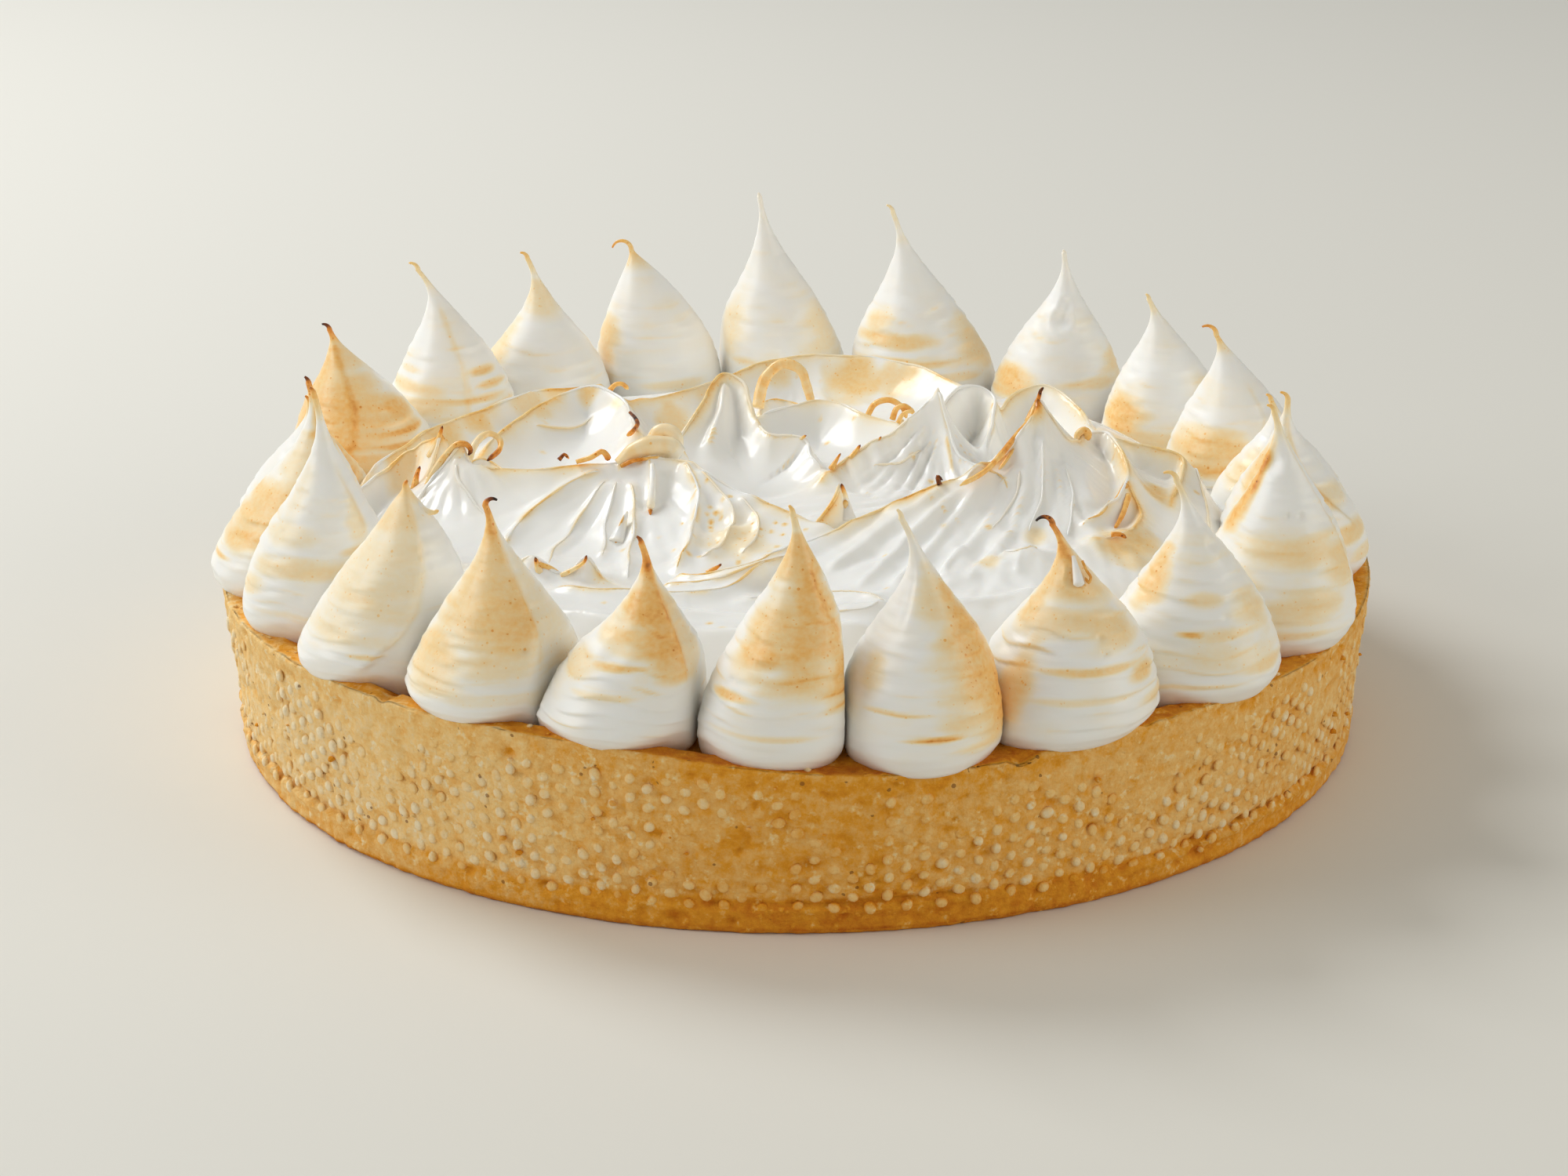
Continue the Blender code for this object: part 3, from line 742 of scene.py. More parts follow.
def kiss_rings(index):
    """The plain body and curl of a kiss, as rings of places from the foot up. It also gives the body's
    levels, as shares of its height, and the half width of every ring."""
    azimuth, distance, belly, tip, fullness, middle, lean, curl, curl_turn, curl_azimuth = KISSES[index]
    in_front = math.cos(math.radians(azimuth)) > -0.2
    columns, row_count = (KISS_COLUMNS, KISS_ROWS) if in_front else (BACK_COLUMNS, BACK_ROWS)
    centre = distance * MM * compass(azimuth)
    centre[2] = crust_top(centre[0], centre[1])
    total_turn = math.radians(curl_turn)
    arc = curl * MM / total_turn
    curl_height = arc if total_turn > 0.5 * math.pi else arc * math.sin(total_turn)
    body_height = tip * MM - centre[2] - curl_height
    turns = np.arange(columns) * FULL_TURN / columns
    levels = np.linspace(0.0, 1.0, row_count - CURL_ROWS) ** 0.93
    rings = []
    widths = []
    for share in levels:
        width = belly * MM * float(kiss_width(share, fullness))
        widths.append(math.hypot(width, TIP_WIDTH * (1.3 - 0.5 * share)))
        shift = (middle * share + lean * share**5) * MM
        rings.append(centre + np.stack([shift + widths[-1] * np.sin(turns), -widths[-1] * np.cos(turns),
                                        np.full(columns, share * body_height)], axis=1))
    end = rings[-1].mean(axis=0)
    tip_width = widths[-1]
    way = compass(curl_azimuth)
    lift = np.array([0.0, 0.0, 1.0])
    sideways = np.cross(lift, way)
    # The rings of the curl keep the order of the body's columns.
    angles = turns - math.radians(curl_azimuth)
    for step in range(1, CURL_ROWS + 1):
        turned = total_turn * step / CURL_ROWS
        middle_place = end + arc * (1.0 - math.cos(turned)) * way + arc * math.sin(turned) * lift
        outward = math.cos(turned) * way - math.sin(turned) * lift
        width = tip_width * (1.0 - TIP_TAPER * step / CURL_ROWS)
        ring = np.cos(angles)[:, None] * outward + np.sin(angles)[:, None] * sideways
        rings.append(middle_place + width * ring)
    return np.stack(rings), levels, np.array(widths + [tip_width] * CURL_ROWS)


def torch_kiss(index, places, facing, share, creases, rings):
    """How brown the torch left each place: streaky patches, creases and the edges of the rings."""
    crease_toast, paler = creases
    blotches = drift(places * (1, 1, 2.0), 8 * MM, 140 + index)
    streaks = drift(places * (1, 1, 7.0), 11 * MM, 160 + index)
    toast = 0.05 * smooth(blotches, -0.5, 0.5)
    for direction, level, half_turn, half_level, brown in BROWNED[index + 1]:
        aside = turned_from(facing, direction) / half_turn
        above = (share - level) / half_level
        apart = np.sqrt(aside**2 + above**2) + 0.34 * blotches + 0.26 * streaks
        patch = brown * smooth(1.50 - apart, 0.0, 1.15)
        toast = np.maximum(toast, patch) + 0.15 * np.minimum(toast, patch)
    toast = np.maximum(toast, 0.10 * smooth(blotches + 0.6 * streaks, 0.05, 0.8))
    # The sides that face away from the front are browned in broad patches.
    hidden = smooth(np.abs(turned_from(facing, 0.0)), 80.0, 130.0)
    broad = drift(places * (1, 1, 1.5), 15 * MM, 190 + index) + 0.3 * blotches + 0.3 * streaks
    toast = np.maximum(toast, 0.44 * smooth(broad, 0.0, 0.8) * hidden)
    toast = np.minimum(toast * (1.0 - paler) + crease_toast, MOST_TOAST)
    toast += 0.26 * rings * smooth(streaks + blotches, -0.2, 0.6)
    return toast * (1.0 - 0.80 * smooth(share, 0.14, 0.02))


def make_kiss(index, material):
    """One kiss: its rings of meringue, its creases, its flat sides against its neighbours, its colour."""
    rings, levels, widths = kiss_rings(index)
    row_count, columns, _ = rings.shape
    places = rings.reshape(-1, 3)
    foot = places[0, 2]
    share = np.repeat(np.concatenate([levels, np.ones(CURL_ROWS)]), columns)
    width = np.repeat(widths, columns)
    around = np.tile(np.arange(columns) * FULL_TURN / columns, row_count)
    facing = np.degrees(around)
    outward = np.stack([np.sin(around), -np.cos(around), np.zeros_like(around)], axis=1)
    # Piping rings: slight steps that wander round the kiss, and long soft swellings.
    wander = drift(outward * 14 * MM, 12 * MM, 40 + index)
    spiral = (places[:, 2] / MM + 1.6 * wander) / RING_PITCH + around / FULL_TURN
    steps = (spiral + 0.45 * drift(places * (1, 1, 0.3), 15 * MM, 60 + index)) % 1.0
    ringed = RINGED[index]
    strong = smooth(drift(places * (1, 1, 2.2), 11 * MM, 80 + index), -0.55 + 0.3 * (1.0 - ringed), 0.45)
    lower = smooth(share, 0.02, 0.08) * (1.0 - smooth(share, 0.50, 0.82))
    ring_strength = strong * lower * ringed
    relief = (RING_EDGE * (1.0 - steps) * smooth(steps, 0.0, 0.14) - 0.25) * ring_strength
    fine = drift(places * (1, 1, 8.0), 9 * MM, 100 + index)
    relief += FINE_LINES * fine * (1.0 - smooth(share, 0.75, 0.95))
    relief += SOFT_LUMPS * drift(places, 15 * MM, 120 + index) * (1.0 - smooth(share, 0.6, 0.9))
    relief += SMALL_LUMPS * drift(places * (1, 1, 3.0), 6 * MM, 180 + index) * lower
    creases, *crease_marks = crease_kiss(index + 1, facing, share, width)
    relief = (relief + creases * np.minimum(1.0, width / (3.0 * MM))) * (share < 0.999)
    places = places + outward * (relief * MM)[:, None]
    for side in (-1, 1):
        places = press_flat(places, index, side)
    follow = 1.0 - smooth(share, 0.0, 0.35)
    places[:, 2] += (crust_top(places[:, 0], places[:, 1]) - foot - FLOOR_DEPTH) * follow
    ring_edges = np.exp(-((steps - 0.12) / 0.10) ** 2) * ring_strength
    toast = torch_kiss(index, places, facing, share, crease_marks, ring_edges)
    # The torch blackens the tip, and most of all the end of the curl.
    curl_share = np.concatenate([np.zeros(len(levels)), np.arange(1, CURL_ROWS + 1) / CURL_ROWS])
    dark = TIPPED[index]
    tip_toast = 0.62 * smooth(share, 0.84, 1.0) + 0.40 * np.repeat(curl_share, columns)
    toast = np.clip(np.maximum(toast, dark * tip_toast), 0.0, 1.0)
    count = len(places)
    last = count - columns
    faces = grid_faces(row_count, columns, True) + end_caps(0, last, columns, count, count + 1)
    ends = [places[:columns].mean(axis=0), places[last:].mean(axis=0)]
    places = np.concatenate([places, ends])
    toast = np.concatenate([toast, [0.0, dark]])
    return make_skin(f"kiss_{index + 1:02d}", places, faces, material, {"toast": toast})


piped = meringue_material("Piped meringue", gloss=0.36, shine=0.50, piped_lines=1.0)
for index in range(len(KISSES)):
    kiss = make_kiss(index, piped)
    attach(kiss, "root")
    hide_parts(f"meringue_kiss_{index + 1:02d}")


# ---------------------------------------------------------------------------------------------------
# The swirled centre. The rest of the meringue is heaped inside the ring and pulled about with a spatula,
# which leaves smooth hollows between thin crests and drawn peaks. The torch catches the crests.

CENTRE_RADIUS = 95.5 * MM
# In mm: the height of the heap's floor and how far it falls at the edge, how softly two folds run
# together, how far the flanks wander from their lines, and the steps along a crest.
CENTRE_FLOOR = 43.0
CENTRE_EDGE_FALL = 8.5
BLEND = 2.2
WANDER = 0.7
CREST_STEP = 1.1
CENTRE_GRID = 312
PINPOINTS = 150
# Each crest: the points along its top (x, y, z in mm), how far its flanks reach to the left and to the
# right of that line, how ragged its edge is, and how strongly the torch caught it.
CRESTS = [
    # The great crest, which climbs from the front to the tallest peak and drops behind it.
    ([(-5, -43, 46.5), (3, -39, 48.5), (14, -31, 51.5), (29, -23, 54.5), (37, -20, 57), (42, -16, 59),
      (46, -12, 62), (49, -7, 64.5), (50, -2, 66.5)], 5.5, 16.0, 0.15, 1.0),
    ([(50, -2, 66.5), (52, -3, 61), (54, -4, 57), (56, -5, 55), (58, -2, 55.5), (60, 2, 57)],
     5.0, 12.0, 0.0, 0.5),
    # The lip of the front-left bowl, from the left peaks to the foot of the great crest.
    ([(-69, -7, 57), (-66, -10, 55), (-55, -11, 54.5), (-45, -9, 54.5), (-35, -9, 55.5), (-25, -10, 56),
      (-17, -16, 54), (-7, -23, 51.5), (2, -29, 49.5), (8, -33, 48.5)], 5.0, 13.0, 0.0, 0.9),
    # The two small peaks at the left, with the edges that run down from them.
    ([(-92, -8, 47), (-85, 2, 51), (-79, 5, 54), (-74, 1, 58)], 6.0, 6.0, 0.3, 1.0),
    ([(-74, 1, 58), (-75, -1, 54), (-77, -5, 50)], 2.5, 3.5, 0.0, 0.5),
    ([(-69, -7, 58.5), (-72, -8, 55), (-75, -9, 51.5), (-77, -14, 47)], 3.5, 4.0, 0.0, 0.8),
    ([(-70, -9, 56), (-69, -13, 51.5), (-66, -18, 48), (-61, -24, 45)], 3.0, 4.0, 0.0, 0.2),
    # The folds round the back left.
    ([(-92, 8, 45), (-89, 16, 47.5), (-83, 23, 49.5), (-78, 31, 50.5), (-70, 38, 51.5), (-60, 50, 52),
      (-52, 53, 52), (-44, 60, 51)], 7.0, 6.0, 0.1, 1.0),
    ([(-68, 12, 48), (-65, 21, 51), (-58, 34, 53), (-50, 44, 54.5), (-45, 46, 55), (-41, 43, 54.5),
      (-37, 36, 53.5), (-35, 27, 53), (-34, 19, 53)], 6.0, 8.0, 0.0, 0.9),
    ([(-38, 40, 53), (-27, 48, 52.5), (-19, 57, 52.5), (-12, 67, 52.5), (-3, 74, 53), (7, 76, 53),
      (17, 75, 53), (26, 71, 52.5), (33, 63, 52), (38, 54, 51.5)], 9.0, 7.0, 0.1, 0.8),
    # What the knot stands on, where the folds meet behind the lip.
    ([(-24, 6, 53), (-27, 2, 55.5), (-30, -3, 56.5), (-33, -7, 56), (-36, -10, 55.5)],
     2.6, 3.2, 0.0, 0.2),
    # The smooth fin and the torn shelf at its right.
    ([(-26, 12, 52), (-22, 19, 56), (-19, 27, 59.5), (-16, 34, 61.5), (-12, 32, 60), (-10, 27, 57),
      (-8, 22, 54.5)], 3.5, 11.0, 0.12, 0.7),
    ([(-18, 14, 53), (-17, 20, 56), (-16, 26, 58.5), (-15.5, 31, 60)], 6.0, 6.0, 0.0, 0.0),
    ([(-8, 22, 54.5), (-6, 17, 53), (-2, 16, 53), (2, 14, 52.5), (3, 10, 50.5), (6, 4, 49)],
     3.5, 6.0, 0.5, 0.3),
    # The inner fold behind the white basin.
    ([(-9, 33, 51.5), (-4, 36, 52.5), (4, 40, 53), (10, 38, 53), (15, 32, 52.5), (22, 27, 52)],
     4.0, 7.0, 0.1, 0.8),
    # The second peak, with its ragged left crest.
    ([(5, 1, 48.5), (9, 5, 50.5), (13, 7, 52), (17, 9, 54), (22, 11, 57), (27, 14, 60.5),
      (30, 15, 63.5)],
     5.0, 9.0, 0.7, 0.8),
    ([(30, 15, 63.5), (32, 11, 57.5), (35, 5, 52), (41, 0, 50.5)], 7.0, 7.0, 0.0, 0.2),
    # The arched folds between the two peaks and behind the tall one.
    ([(31, 20, 54), (32, 27, 56), (35, 33, 58), (40, 35, 58), (43, 31, 56.5), (42, 25, 53.5),
      (40, 10, 50)],
     3.5, 4.5, 0.0, 0.15),
    ([(43, 30, 51), (46, 36, 54), (50, 41, 55.5), (54, 42, 56), (58, 38, 55.5), (62, 28, 54),
      (64, 18, 53)],
     5.0, 6.0, 0.0, 0.6),
    # The lip round the hollow at the right, and the lobe outside it.
    ([(60, 2, 57), (62, 4, 57.5), (65, 3, 57.5), (67, -3, 56.5), (68, -9, 55), (68, -15, 53.5),
      (66, -21, 52),
      (63, -26, 50.5), (59, -31, 48.5)], 6.0, 4.0, 0.0, 0.8),
    ([(65, 3, 57), (71, 6, 54.5), (77, 5, 53), (81, 2, 51), (80, -5, 49), (77, -14, 46.5)],
     5.5, 5.0, 0.1, 0.8),
    ([(68, -16, 52), (70, -23, 49.5), (67, -34, 49.5), (60, -39, 48)], 5.0, 4.0, 0.3, 0.9),
    # Small spikes: one in the valley, two at the front left.
    ([(4, -27, 48), (8, -23, 52), (9, -21, 54.5)], 2.2, 2.5, 0.0, 1.0),
    ([(-57, -50, 45), (-52, -50, 49.5), (-48, -52, 47), (-44, -52, 47), (-41, -51, 50), (-38, -53, 46)],
     3.0, 3.5, 0.1, 1.0),
    # The front right heap, below the great crest.
    ([(20, -62, 44.5), (40, -50, 47), (55, -42, 48), (64, -34, 49)], 9.0, 10.0, 0.2, 0.0),
]
# Small ridges that stand a little above what they cross: points (x, y in mm), rise, reach, torch.
RIDGES = [
    ([(-39, -10), (-48, -15), (-55, -24), (-59, -35)], 1.3, 1.5, 0.9),
    ([(-38, -11), (-43, -21), (-48, -34), (-49, -46)], 1.0, 1.5, 0.5),
    ([(-36, -12), (-38, -22), (-39, -40)], 1.2, 1.3, 0.2),
    ([(-34, -12), (-33, -26), (-33, -52)], 1.5, 1.4, 0.4),
    ([(-30, -8), (-30, -13), (-30, -21)], 1.2, 0.9, 0.5),
    ([(-25, -11), (-22, -15), (-20, -22), (-21, -35), (-24, -49)], 2.6, 1.6, 0.9),
    ([(-21, -14), (-17, -19), (-13, -26), (-14, -36), (-18, -43), (-21, -42)], 1.6, 1.3, 0.5),
    ([(-12, -21), (-8, -28), (-8, -36), (-12, -42)], 1.0, 1.4, 0.5),
    ([(-25, -50), (-21, -53), (-15, -54), (-8, -53), (-4, -47), (2, -40)], 2.2, 1.6, 1.0),
    ([(-28, -56), (-17, -57), (-6, -53), (1, -45)], 1.6, 1.8, 0.8),
    ([(-50, -57), (-40, -61), (-31, -62), (-22, -63), (-14, -60), (-5, -52), (3, -45)], 2.0, 2.4, 0.8),
    ([(-73, 3), (-70, 8), (-66, 11), (-62, 8), (-62, 3)], 2.4, 1.0, 0.9),
    ([(2, 43), (3, 50), (1, 56), (-3, 58), (-7, 55), (-8, 48), (-7, 42)], 2.6, 1.3, 0.9),
    ([(15, 37), (17, 41), (20, 42), (23, 40), (23, 36)], 2.4, 0.8, 1.0),
    ([(22, 35), (23, 38), (26, 38), (27, 35)], 2.2, 0.8, 1.0),
    ([(34, -24), (37, -21), (41, -21), (43, -24)], 1.2, 1.2, 0.7),
    ([(46, -18), (44, -26), (38, -36)], 1.0, 1.8, 0.2),
    ([(51, -10), (50, -22), (46, -36)], 1.2, 2.0, 0.1),
    ([(55, -12), (56, -24), (54, -36)], 0.9, 1.8, 0.1),
    ([(61, -8), (59, -16), (60, -24)], 0.8, 2.4, 0.0),
    ([(64, -22), (62, -28), (57, -32)], 1.2, 1.2, 0.9),
    ([(40, -44), (44, -46), (48, -44)], 1.2, 1.3, 0.6),
    ([(-58, 30), (-50, 34), (-44, 40)], 0.8, 1.5, 0.6),
    ([(16, 4), (22, 4), (27, 8)], 1.0, 1.4, 0.4),
    # Long strokes of the spatula down the front of the great crest.
    ([(40, -20), (35, -27), (29, -36), (23, -48), (18, -60)], 1.3, 1.6, 0.0),
    ([(45, -17), (41, -25), (37, -34), (31, -46), (26, -58)], 1.0, 1.4, 0.0),
    ([(48, -13), (46, -22), (44, -32), (40, -42), (36, -52)], 0.8, 1.3, 0.0),
    ([(31, -24), (22, -31), (13, -41), (5, -53)], 1.0, 1.5, 0.0),
    ([(36, -22), (27, -32), (18, -46), (11, -60)], 1.4, 1.8, 0.0),
    ([(43, -34), (38, -44), (33, -56)], 0.9, 1.4, 0.0),
    ([(47, -40), (44, -47), (43, -54)], 0.8, 1.1, 0.0),
    ([(33, -40), (30, -48), (29, -55)], 0.8, 1.1, 0.0),
    # Wide strokes round the edge of the heap, most of them behind the kisses.
    ([(-83, -18), (-80, -33), (-71, -47), (-58, -62)], 1.8, 3.0, 0.0),
    ([(-66, -44), (-50, -65), (-25, -77), (0, -80), (22, -77)], 1.7, 3.0, 0.0),
    ([(-36, -69), (-12, -71), (14, -70), (38, -65), (58, -54)], 1.5, 2.6, 0.0),
    ([(-14, -64), (6, -61), (16, -66), (12, -73), (-2, -74)], 1.3, 2.0, 0.4),
    ([(72, -46), (82, -28), (85, -8), (82, 14)], 1.8, 3.0, 0.4),
    ([(82, 24), (74, 42), (60, 57), (44, 66)], 2.0, 3.0, 0.5),
    ([(72, 22), (67, 34), (56, 46), (44, 53)], 1.4, 2.2, 0.0),
    ([(30, 83), (8, 88), (-18, 86), (-40, 76)], 1.6, 2.6, 0.0),
    ([(-60, 62), (-76, 44), (-86, 24)], 1.2, 2.2, 0.0),
]
# Where the spatula fanned out: centre (x, y), from and to what distance, depth, width of a flute at
# 20 mm out, and the middle and half width in degrees of the sector, counted anticlockwise from +X.
FANS = [
    (-32, -6, 5, 62, 0.42, 3.4, 265, 75),
    (52, 2, 7, 130, 1.00, 2.1, 236, 66),
    (31, 15, 3, 30, 1.00, 2.6, 262, 80),
    (-15, 38, 4, 34, 0.30, 3.2, 275, 60),
    (-70, -5, 2, 24, 0.50, 3.2, 275, 70),
    (62, -4, 4, 26, 0.30, 3.6, 20, 80),
    (40, 36, 3, 20, 0.30, 3.0, 260, 80),
    (0, 76, 6, 30, 0.35, 3.0, 270, 80),
]
# Patches that the torch browned: x, y, radius in mm, strength.
TORCHED = [(13, 70, 8, 0.38), (24, 68, 7, 0.30), (66, -38, 8, 0.36), (-78, 30, 7, 0.36),
           (-87, 19, 5, 0.36), (-71, 37, 5, 0.36), (-53, 54, 6, 0.32), (-57, 36, 4, 0.30),
           (-46, 46, 4, 0.36), (-38, 39, 3, 0.34), (-22, 54, 5, 0.26), (-6, 73, 6, 0.34),
           (-27, 42, 5, 0.30), (-12, -36, 9, 0.20), (48, -36, 3, 0.26), (38, -48, 3, 0.24),
           (-83, 4, 7, 0.30), (75, -10, 5, 0.38), (-60, 48, 6, 0.25), (70, 36, 8, 0.22), (-32, -4, 4, 0.20),
           (-10, -50, 8, 0.14), (-12, -30, 7, 0.10), (58, 58, 8, 0.22), (-70, -50, 9, 0.18)]


def disc_grid(count):
    """Even squares laid over a unit disc, so that their outline is round."""
    line = np.linspace(-1.0, 1.0, count)
    a, b = np.meshgrid(line, line)
    wide = np.abs(a) > np.abs(b)
    with np.errstate(divide="ignore", invalid="ignore"):
        angle = np.where(wide, 0.25 * math.pi * b / a, 0.5 * math.pi - 0.25 * math.pi * a / b)
    angle = np.nan_to_num(angle)
    radius = np.where(wide, a, b)
    return (radius * np.cos(angle)).ravel(), (radius * np.sin(angle)).ravel()


def curve_through(points, spacing):
    """A smooth line through points, as places about the given spacing apart."""
    points = np.asarray(points, float)
    ends = np.concatenate([[2.0 * points[0] - points[1]], points, [2.0 * points[-1] - points[-2]]])
    places = []
    for a, b, c, d in zip(ends, ends[1:], ends[2:], ends[3:]):
        count = max(2, int(np.linalg.norm(c - b) / spacing) + 1)
        t = np.linspace(0.0, 1.0, count, endpoint=False)[:, None]
        places.append(0.5 * (2.0 * b + (c - a) * t + (2.0 * a - 5.0 * b + 4.0 * c - d) * t**2
                             + (3.0 * b - a - 3.0 * c + d) * t**3))
    return np.concatenate(places + [points[-1:]])


def nearest_on(line, x, y):
    """For each place: its distance to a line, which side it lies on (-1 to 1, left above 0), and how
    far along the line it is nearest to, from 0 to the number of stretches."""
    best = np.full(x.shape, np.inf)
    side = np.zeros_like(x)
    along = np.zeros_like(x)
    for step, (start, end) in enumerate(zip(line, line[1:])):
        along_x, along_y = end[0] - start[0], end[1] - start[1]
        length = math.hypot(along_x, along_y) + 1e-9
        share = np.clip(((x - start[0]) * along_x + (y - start[1]) * along_y) / length**2, 0.0, 1.0)
        off_x, off_y = x - start[0] - share * along_x, y - start[1] - share * along_y
        away = np.hypot(off_x, off_y)
        nearer = away < best
        best = np.where(nearer, away, best)
        turned = (along_x * off_y - along_y * off_x) / (length * (away + 1e-9))
        side = np.where(nearer, turned, side)
        along = np.where(nearer, step + share, along)
    return best, side, along


def round_max(first, second, blend):
    """The higher of two surfaces, with the valley between them rounded."""
    near = np.maximum(blend - np.abs(first - second), 0.0) / blend
    return np.maximum(first, second) + near * near * blend * 0.25


def crest_line(number):
    """The top of a crest, as places in mm, with its unevenness and its teeth."""
    points, _, _, ragged, _ = CRESTS[number]
    line = curve_through(points, CREST_STEP)
    steps = np.arange(len(line)) * CREST_STEP
    stretch = np.stack([steps, np.full_like(steps, 9.0 * number), np.zeros_like(steps)], axis=1)
    line[:, 2] += 2.2 * ragged * drift(stretch, 3.2, 210) + 0.4 * drift(stretch, 9.0, 211)
    patch = smooth(drift(stretch, 12.0, 212), -0.6, 0.45)
    return line, patch


def around_line(line, x, y, reach):
    """Which places lie within reach of a line's box, their distance to the line, their side of it and
    how far along it they are."""
    low, high = line.min(axis=0) - reach, line.max(axis=0) + reach
    near = (x > low[0]) & (x < high[0]) & (y > low[1]) & (y < high[1])
    return near, *nearest_on(line, x[near], y[near])


def add_crests(height, x, y):
    """Raises the crests out of the heap, and returns the torch's marks along them."""
    toast = np.zeros_like(x)
    floor = height.copy()
    for number, (_, left, right, _, torched) in enumerate(CRESTS):
        line, patch = crest_line(number)
        near, away, side, along = around_line(line, x, y, max(left, right) * 5.0)
        top = np.interp(along, np.arange(len(line)), line[:, 2])
        warm = torched * np.interp(along, np.arange(len(line)), patch)
        flank = left * (0.5 + 0.5 * side) + right * (0.5 - 0.5 * side)
        rounded = np.sqrt(away**2 + 0.5**2) - 0.5
        rise = (top - floor[near]) * np.exp(-rounded / flank)
        height[near] = round_max(height[near], floor[near] + rise, BLEND)
        high_part = smooth(top, 50.0, 66.0)
        mark = (0.30 + 0.3 * high_part) * np.exp(-(away / (0.7 + 0.5 * high_part)) ** 2)
        mark = warm * (mark + 0.30 * np.exp(-away / 2.8))
        toast[near] = np.maximum(toast[near], mark)
    return toast


def add_ridges(height, toast, x, y):
    """Raises the small ridges a little above whatever they cross, and marks them with the torch."""
    for number, (points, rise, reach, torched) in enumerate(RIDGES):
        line = curve_through([(a, b, 0.0) for a, b in points], 1.6)
        near, away, _, along = around_line(line, x, y, 5.0 * reach)
        share = along / (len(line) - 1)
        fade = smooth(share, 0.0, 0.12) * smooth(1.0 - share, 0.0, 0.15)
        height[near] += rise * fade * np.exp(-(np.sqrt(away**2 + 0.3**2) - 0.3) / reach)
        stretch = np.stack([along, np.full_like(along, 5.0 * number), np.zeros_like(along)], axis=1)
        patch = smooth(drift(stretch, 4.0, 220), -0.5, 0.4)
        mark = 0.35 * torched * patch * fade * np.exp(-(away / 0.9) ** 2)
        toast[near] = np.maximum(toast[near], mark)


def add_fans(height, x, y):
    """Cuts the fine flutes that the edge of the spatula leaves where it turns."""
    for number, (centre_x, centre_y, near, far, depth, width, middle, half) in enumerate(FANS):
        away = np.hypot(x - centre_x, y - centre_y)
        angle = np.arctan2(y - centre_y, x - centre_x)
        apart = np.abs(turned_from(np.degrees(angle), middle))
        strength = smooth(away, near, near + 6.0) * smooth(far - away, 0.0, 0.5 * far)
        strength = strength * smooth(half - apart, 0.0, 0.4 * half)
        spots = np.stack([20.0 * np.cos(angle), 20.0 * np.sin(angle), 0.12 * away], axis=1)
        flutes = drift(spots, width, 230 + number) + 0.5 * drift(spots, 0.5 * width, 240 + number)
        height += depth * strength * flutes


def torch_spots(toast, x, y, flat, height):
    """Adds the torch's broad patches, its pinpoints, and the browning of every sharp edge."""
    for patch_x, patch_y, radius, strength in TORCHED:
        spread = np.hypot(x - patch_x, y - patch_y) / radius + 0.35 * drift(flat, 4.0, 204)
        toast = np.maximum(toast, strength * smooth(1.3 - spread, 0.0, 1.0))
    random = np.random.default_rng(31)
    for _ in range(PINPOINTS):
        spot = random.uniform(-85.0, 85.0, 2)
        # Many of them lie in the bowl at the front.
        if random.uniform() < 0.4:
            spot = np.array([-12.0, -32.0]) + random.normal(0.0, 7.0, 2)
        apart = np.hypot(flat[:, 0] - spot[0], flat[:, 1] - spot[1])
        strength = random.uniform(0.2, 0.6)
        toast = np.maximum(toast, strength * np.exp(-(apart / random.uniform(0.35, 0.7)) ** 2))
    surface = height.reshape(CENTRE_GRID, CENTRE_GRID)
    beside = surface[:-2, 1:-1] + surface[2:, 1:-1] + surface[1:-1, :-2] + surface[1:-1, 2:]
    sharp = np.zeros_like(surface)
    step = 2.0 * CENTRE_RADIUS / MM / CENTRE_GRID
    sharp[1:-1, 1:-1] = (4.0 * surface[1:-1, 1:-1] - beside) / step
    caught = smooth(sharp.ravel(), 0.6, 2.2) * smooth(drift(flat, 15.0, 205), -0.3, 0.4)
    return np.maximum(toast, 0.4 * caught)


def make_centre(material):
    """The whole heap as one skin. It also gives its points on the flat and their heights, both in mm."""
    x, y = (side * CENTRE_RADIUS / MM for side in disc_grid(CENTRE_GRID))
    flat = np.stack([x, y, np.zeros_like(x)], axis=1)
    # A little wander keeps the flanks from looking ruled.
    x = x + WANDER * drift(flat, 9.0, 200)
    y = y + WANDER * drift(flat, 9.0, 201)
    fall = CENTRE_EDGE_FALL * smooth(np.hypot(flat[:, 0], flat[:, 1]), 78.0, 95.5)
    height = CENTRE_FLOOR - fall + 1.3 * drift(flat, 20.0, 202)
    toast = add_crests(height, x, y)
    add_fans(height, x, y)
    add_ridges(height, toast, x, y)
    height += 0.06 * drift(flat, 4.0, 203)
    toast = torch_spots(toast, x, y, flat, height)
    places = (flat + height[:, None] * (0, 0, 1)) * MM
    faces = grid_faces(CENTRE_GRID, CENTRE_GRID, False)
    # A skirt and a base close the heap below.
    index = np.arange(CENTRE_GRID**2).reshape(CENTRE_GRID, CENTRE_GRID)
    rim = np.concatenate([index[0, :-1], index[:-1, -1], index[-1, :0:-1], index[:0:-1, 0]])
    base = WELL_HEIGHT - 0.3 * MM
    skirt = places[rim].copy()
    skirt[:, 2] = base
    first = len(places)
    count = len(rim)
    for i in range(count):
        j = (i + 1) % count
        faces.append((int(rim[i]), first + i, first + j, int(rim[j])))
        faces.append((first + i, first + count, first + j))
    places = np.concatenate([places, skirt, [[0.0, 0.0, base]]])
    toast = np.concatenate([np.clip(toast, 0.0, 1.0), np.zeros(count + 1)])
    heap = make_skin("swirled_centre", places, faces, material, {"toast": toast})
    return heap, flat, height


swirled = meringue_material("Swirled meringue", gloss=0.22, shine=0.32, piped_lines=0.0)
centre, heap_flat, heap_height = make_centre(swirled)
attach(centre, "root")
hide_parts("meringue_centre")


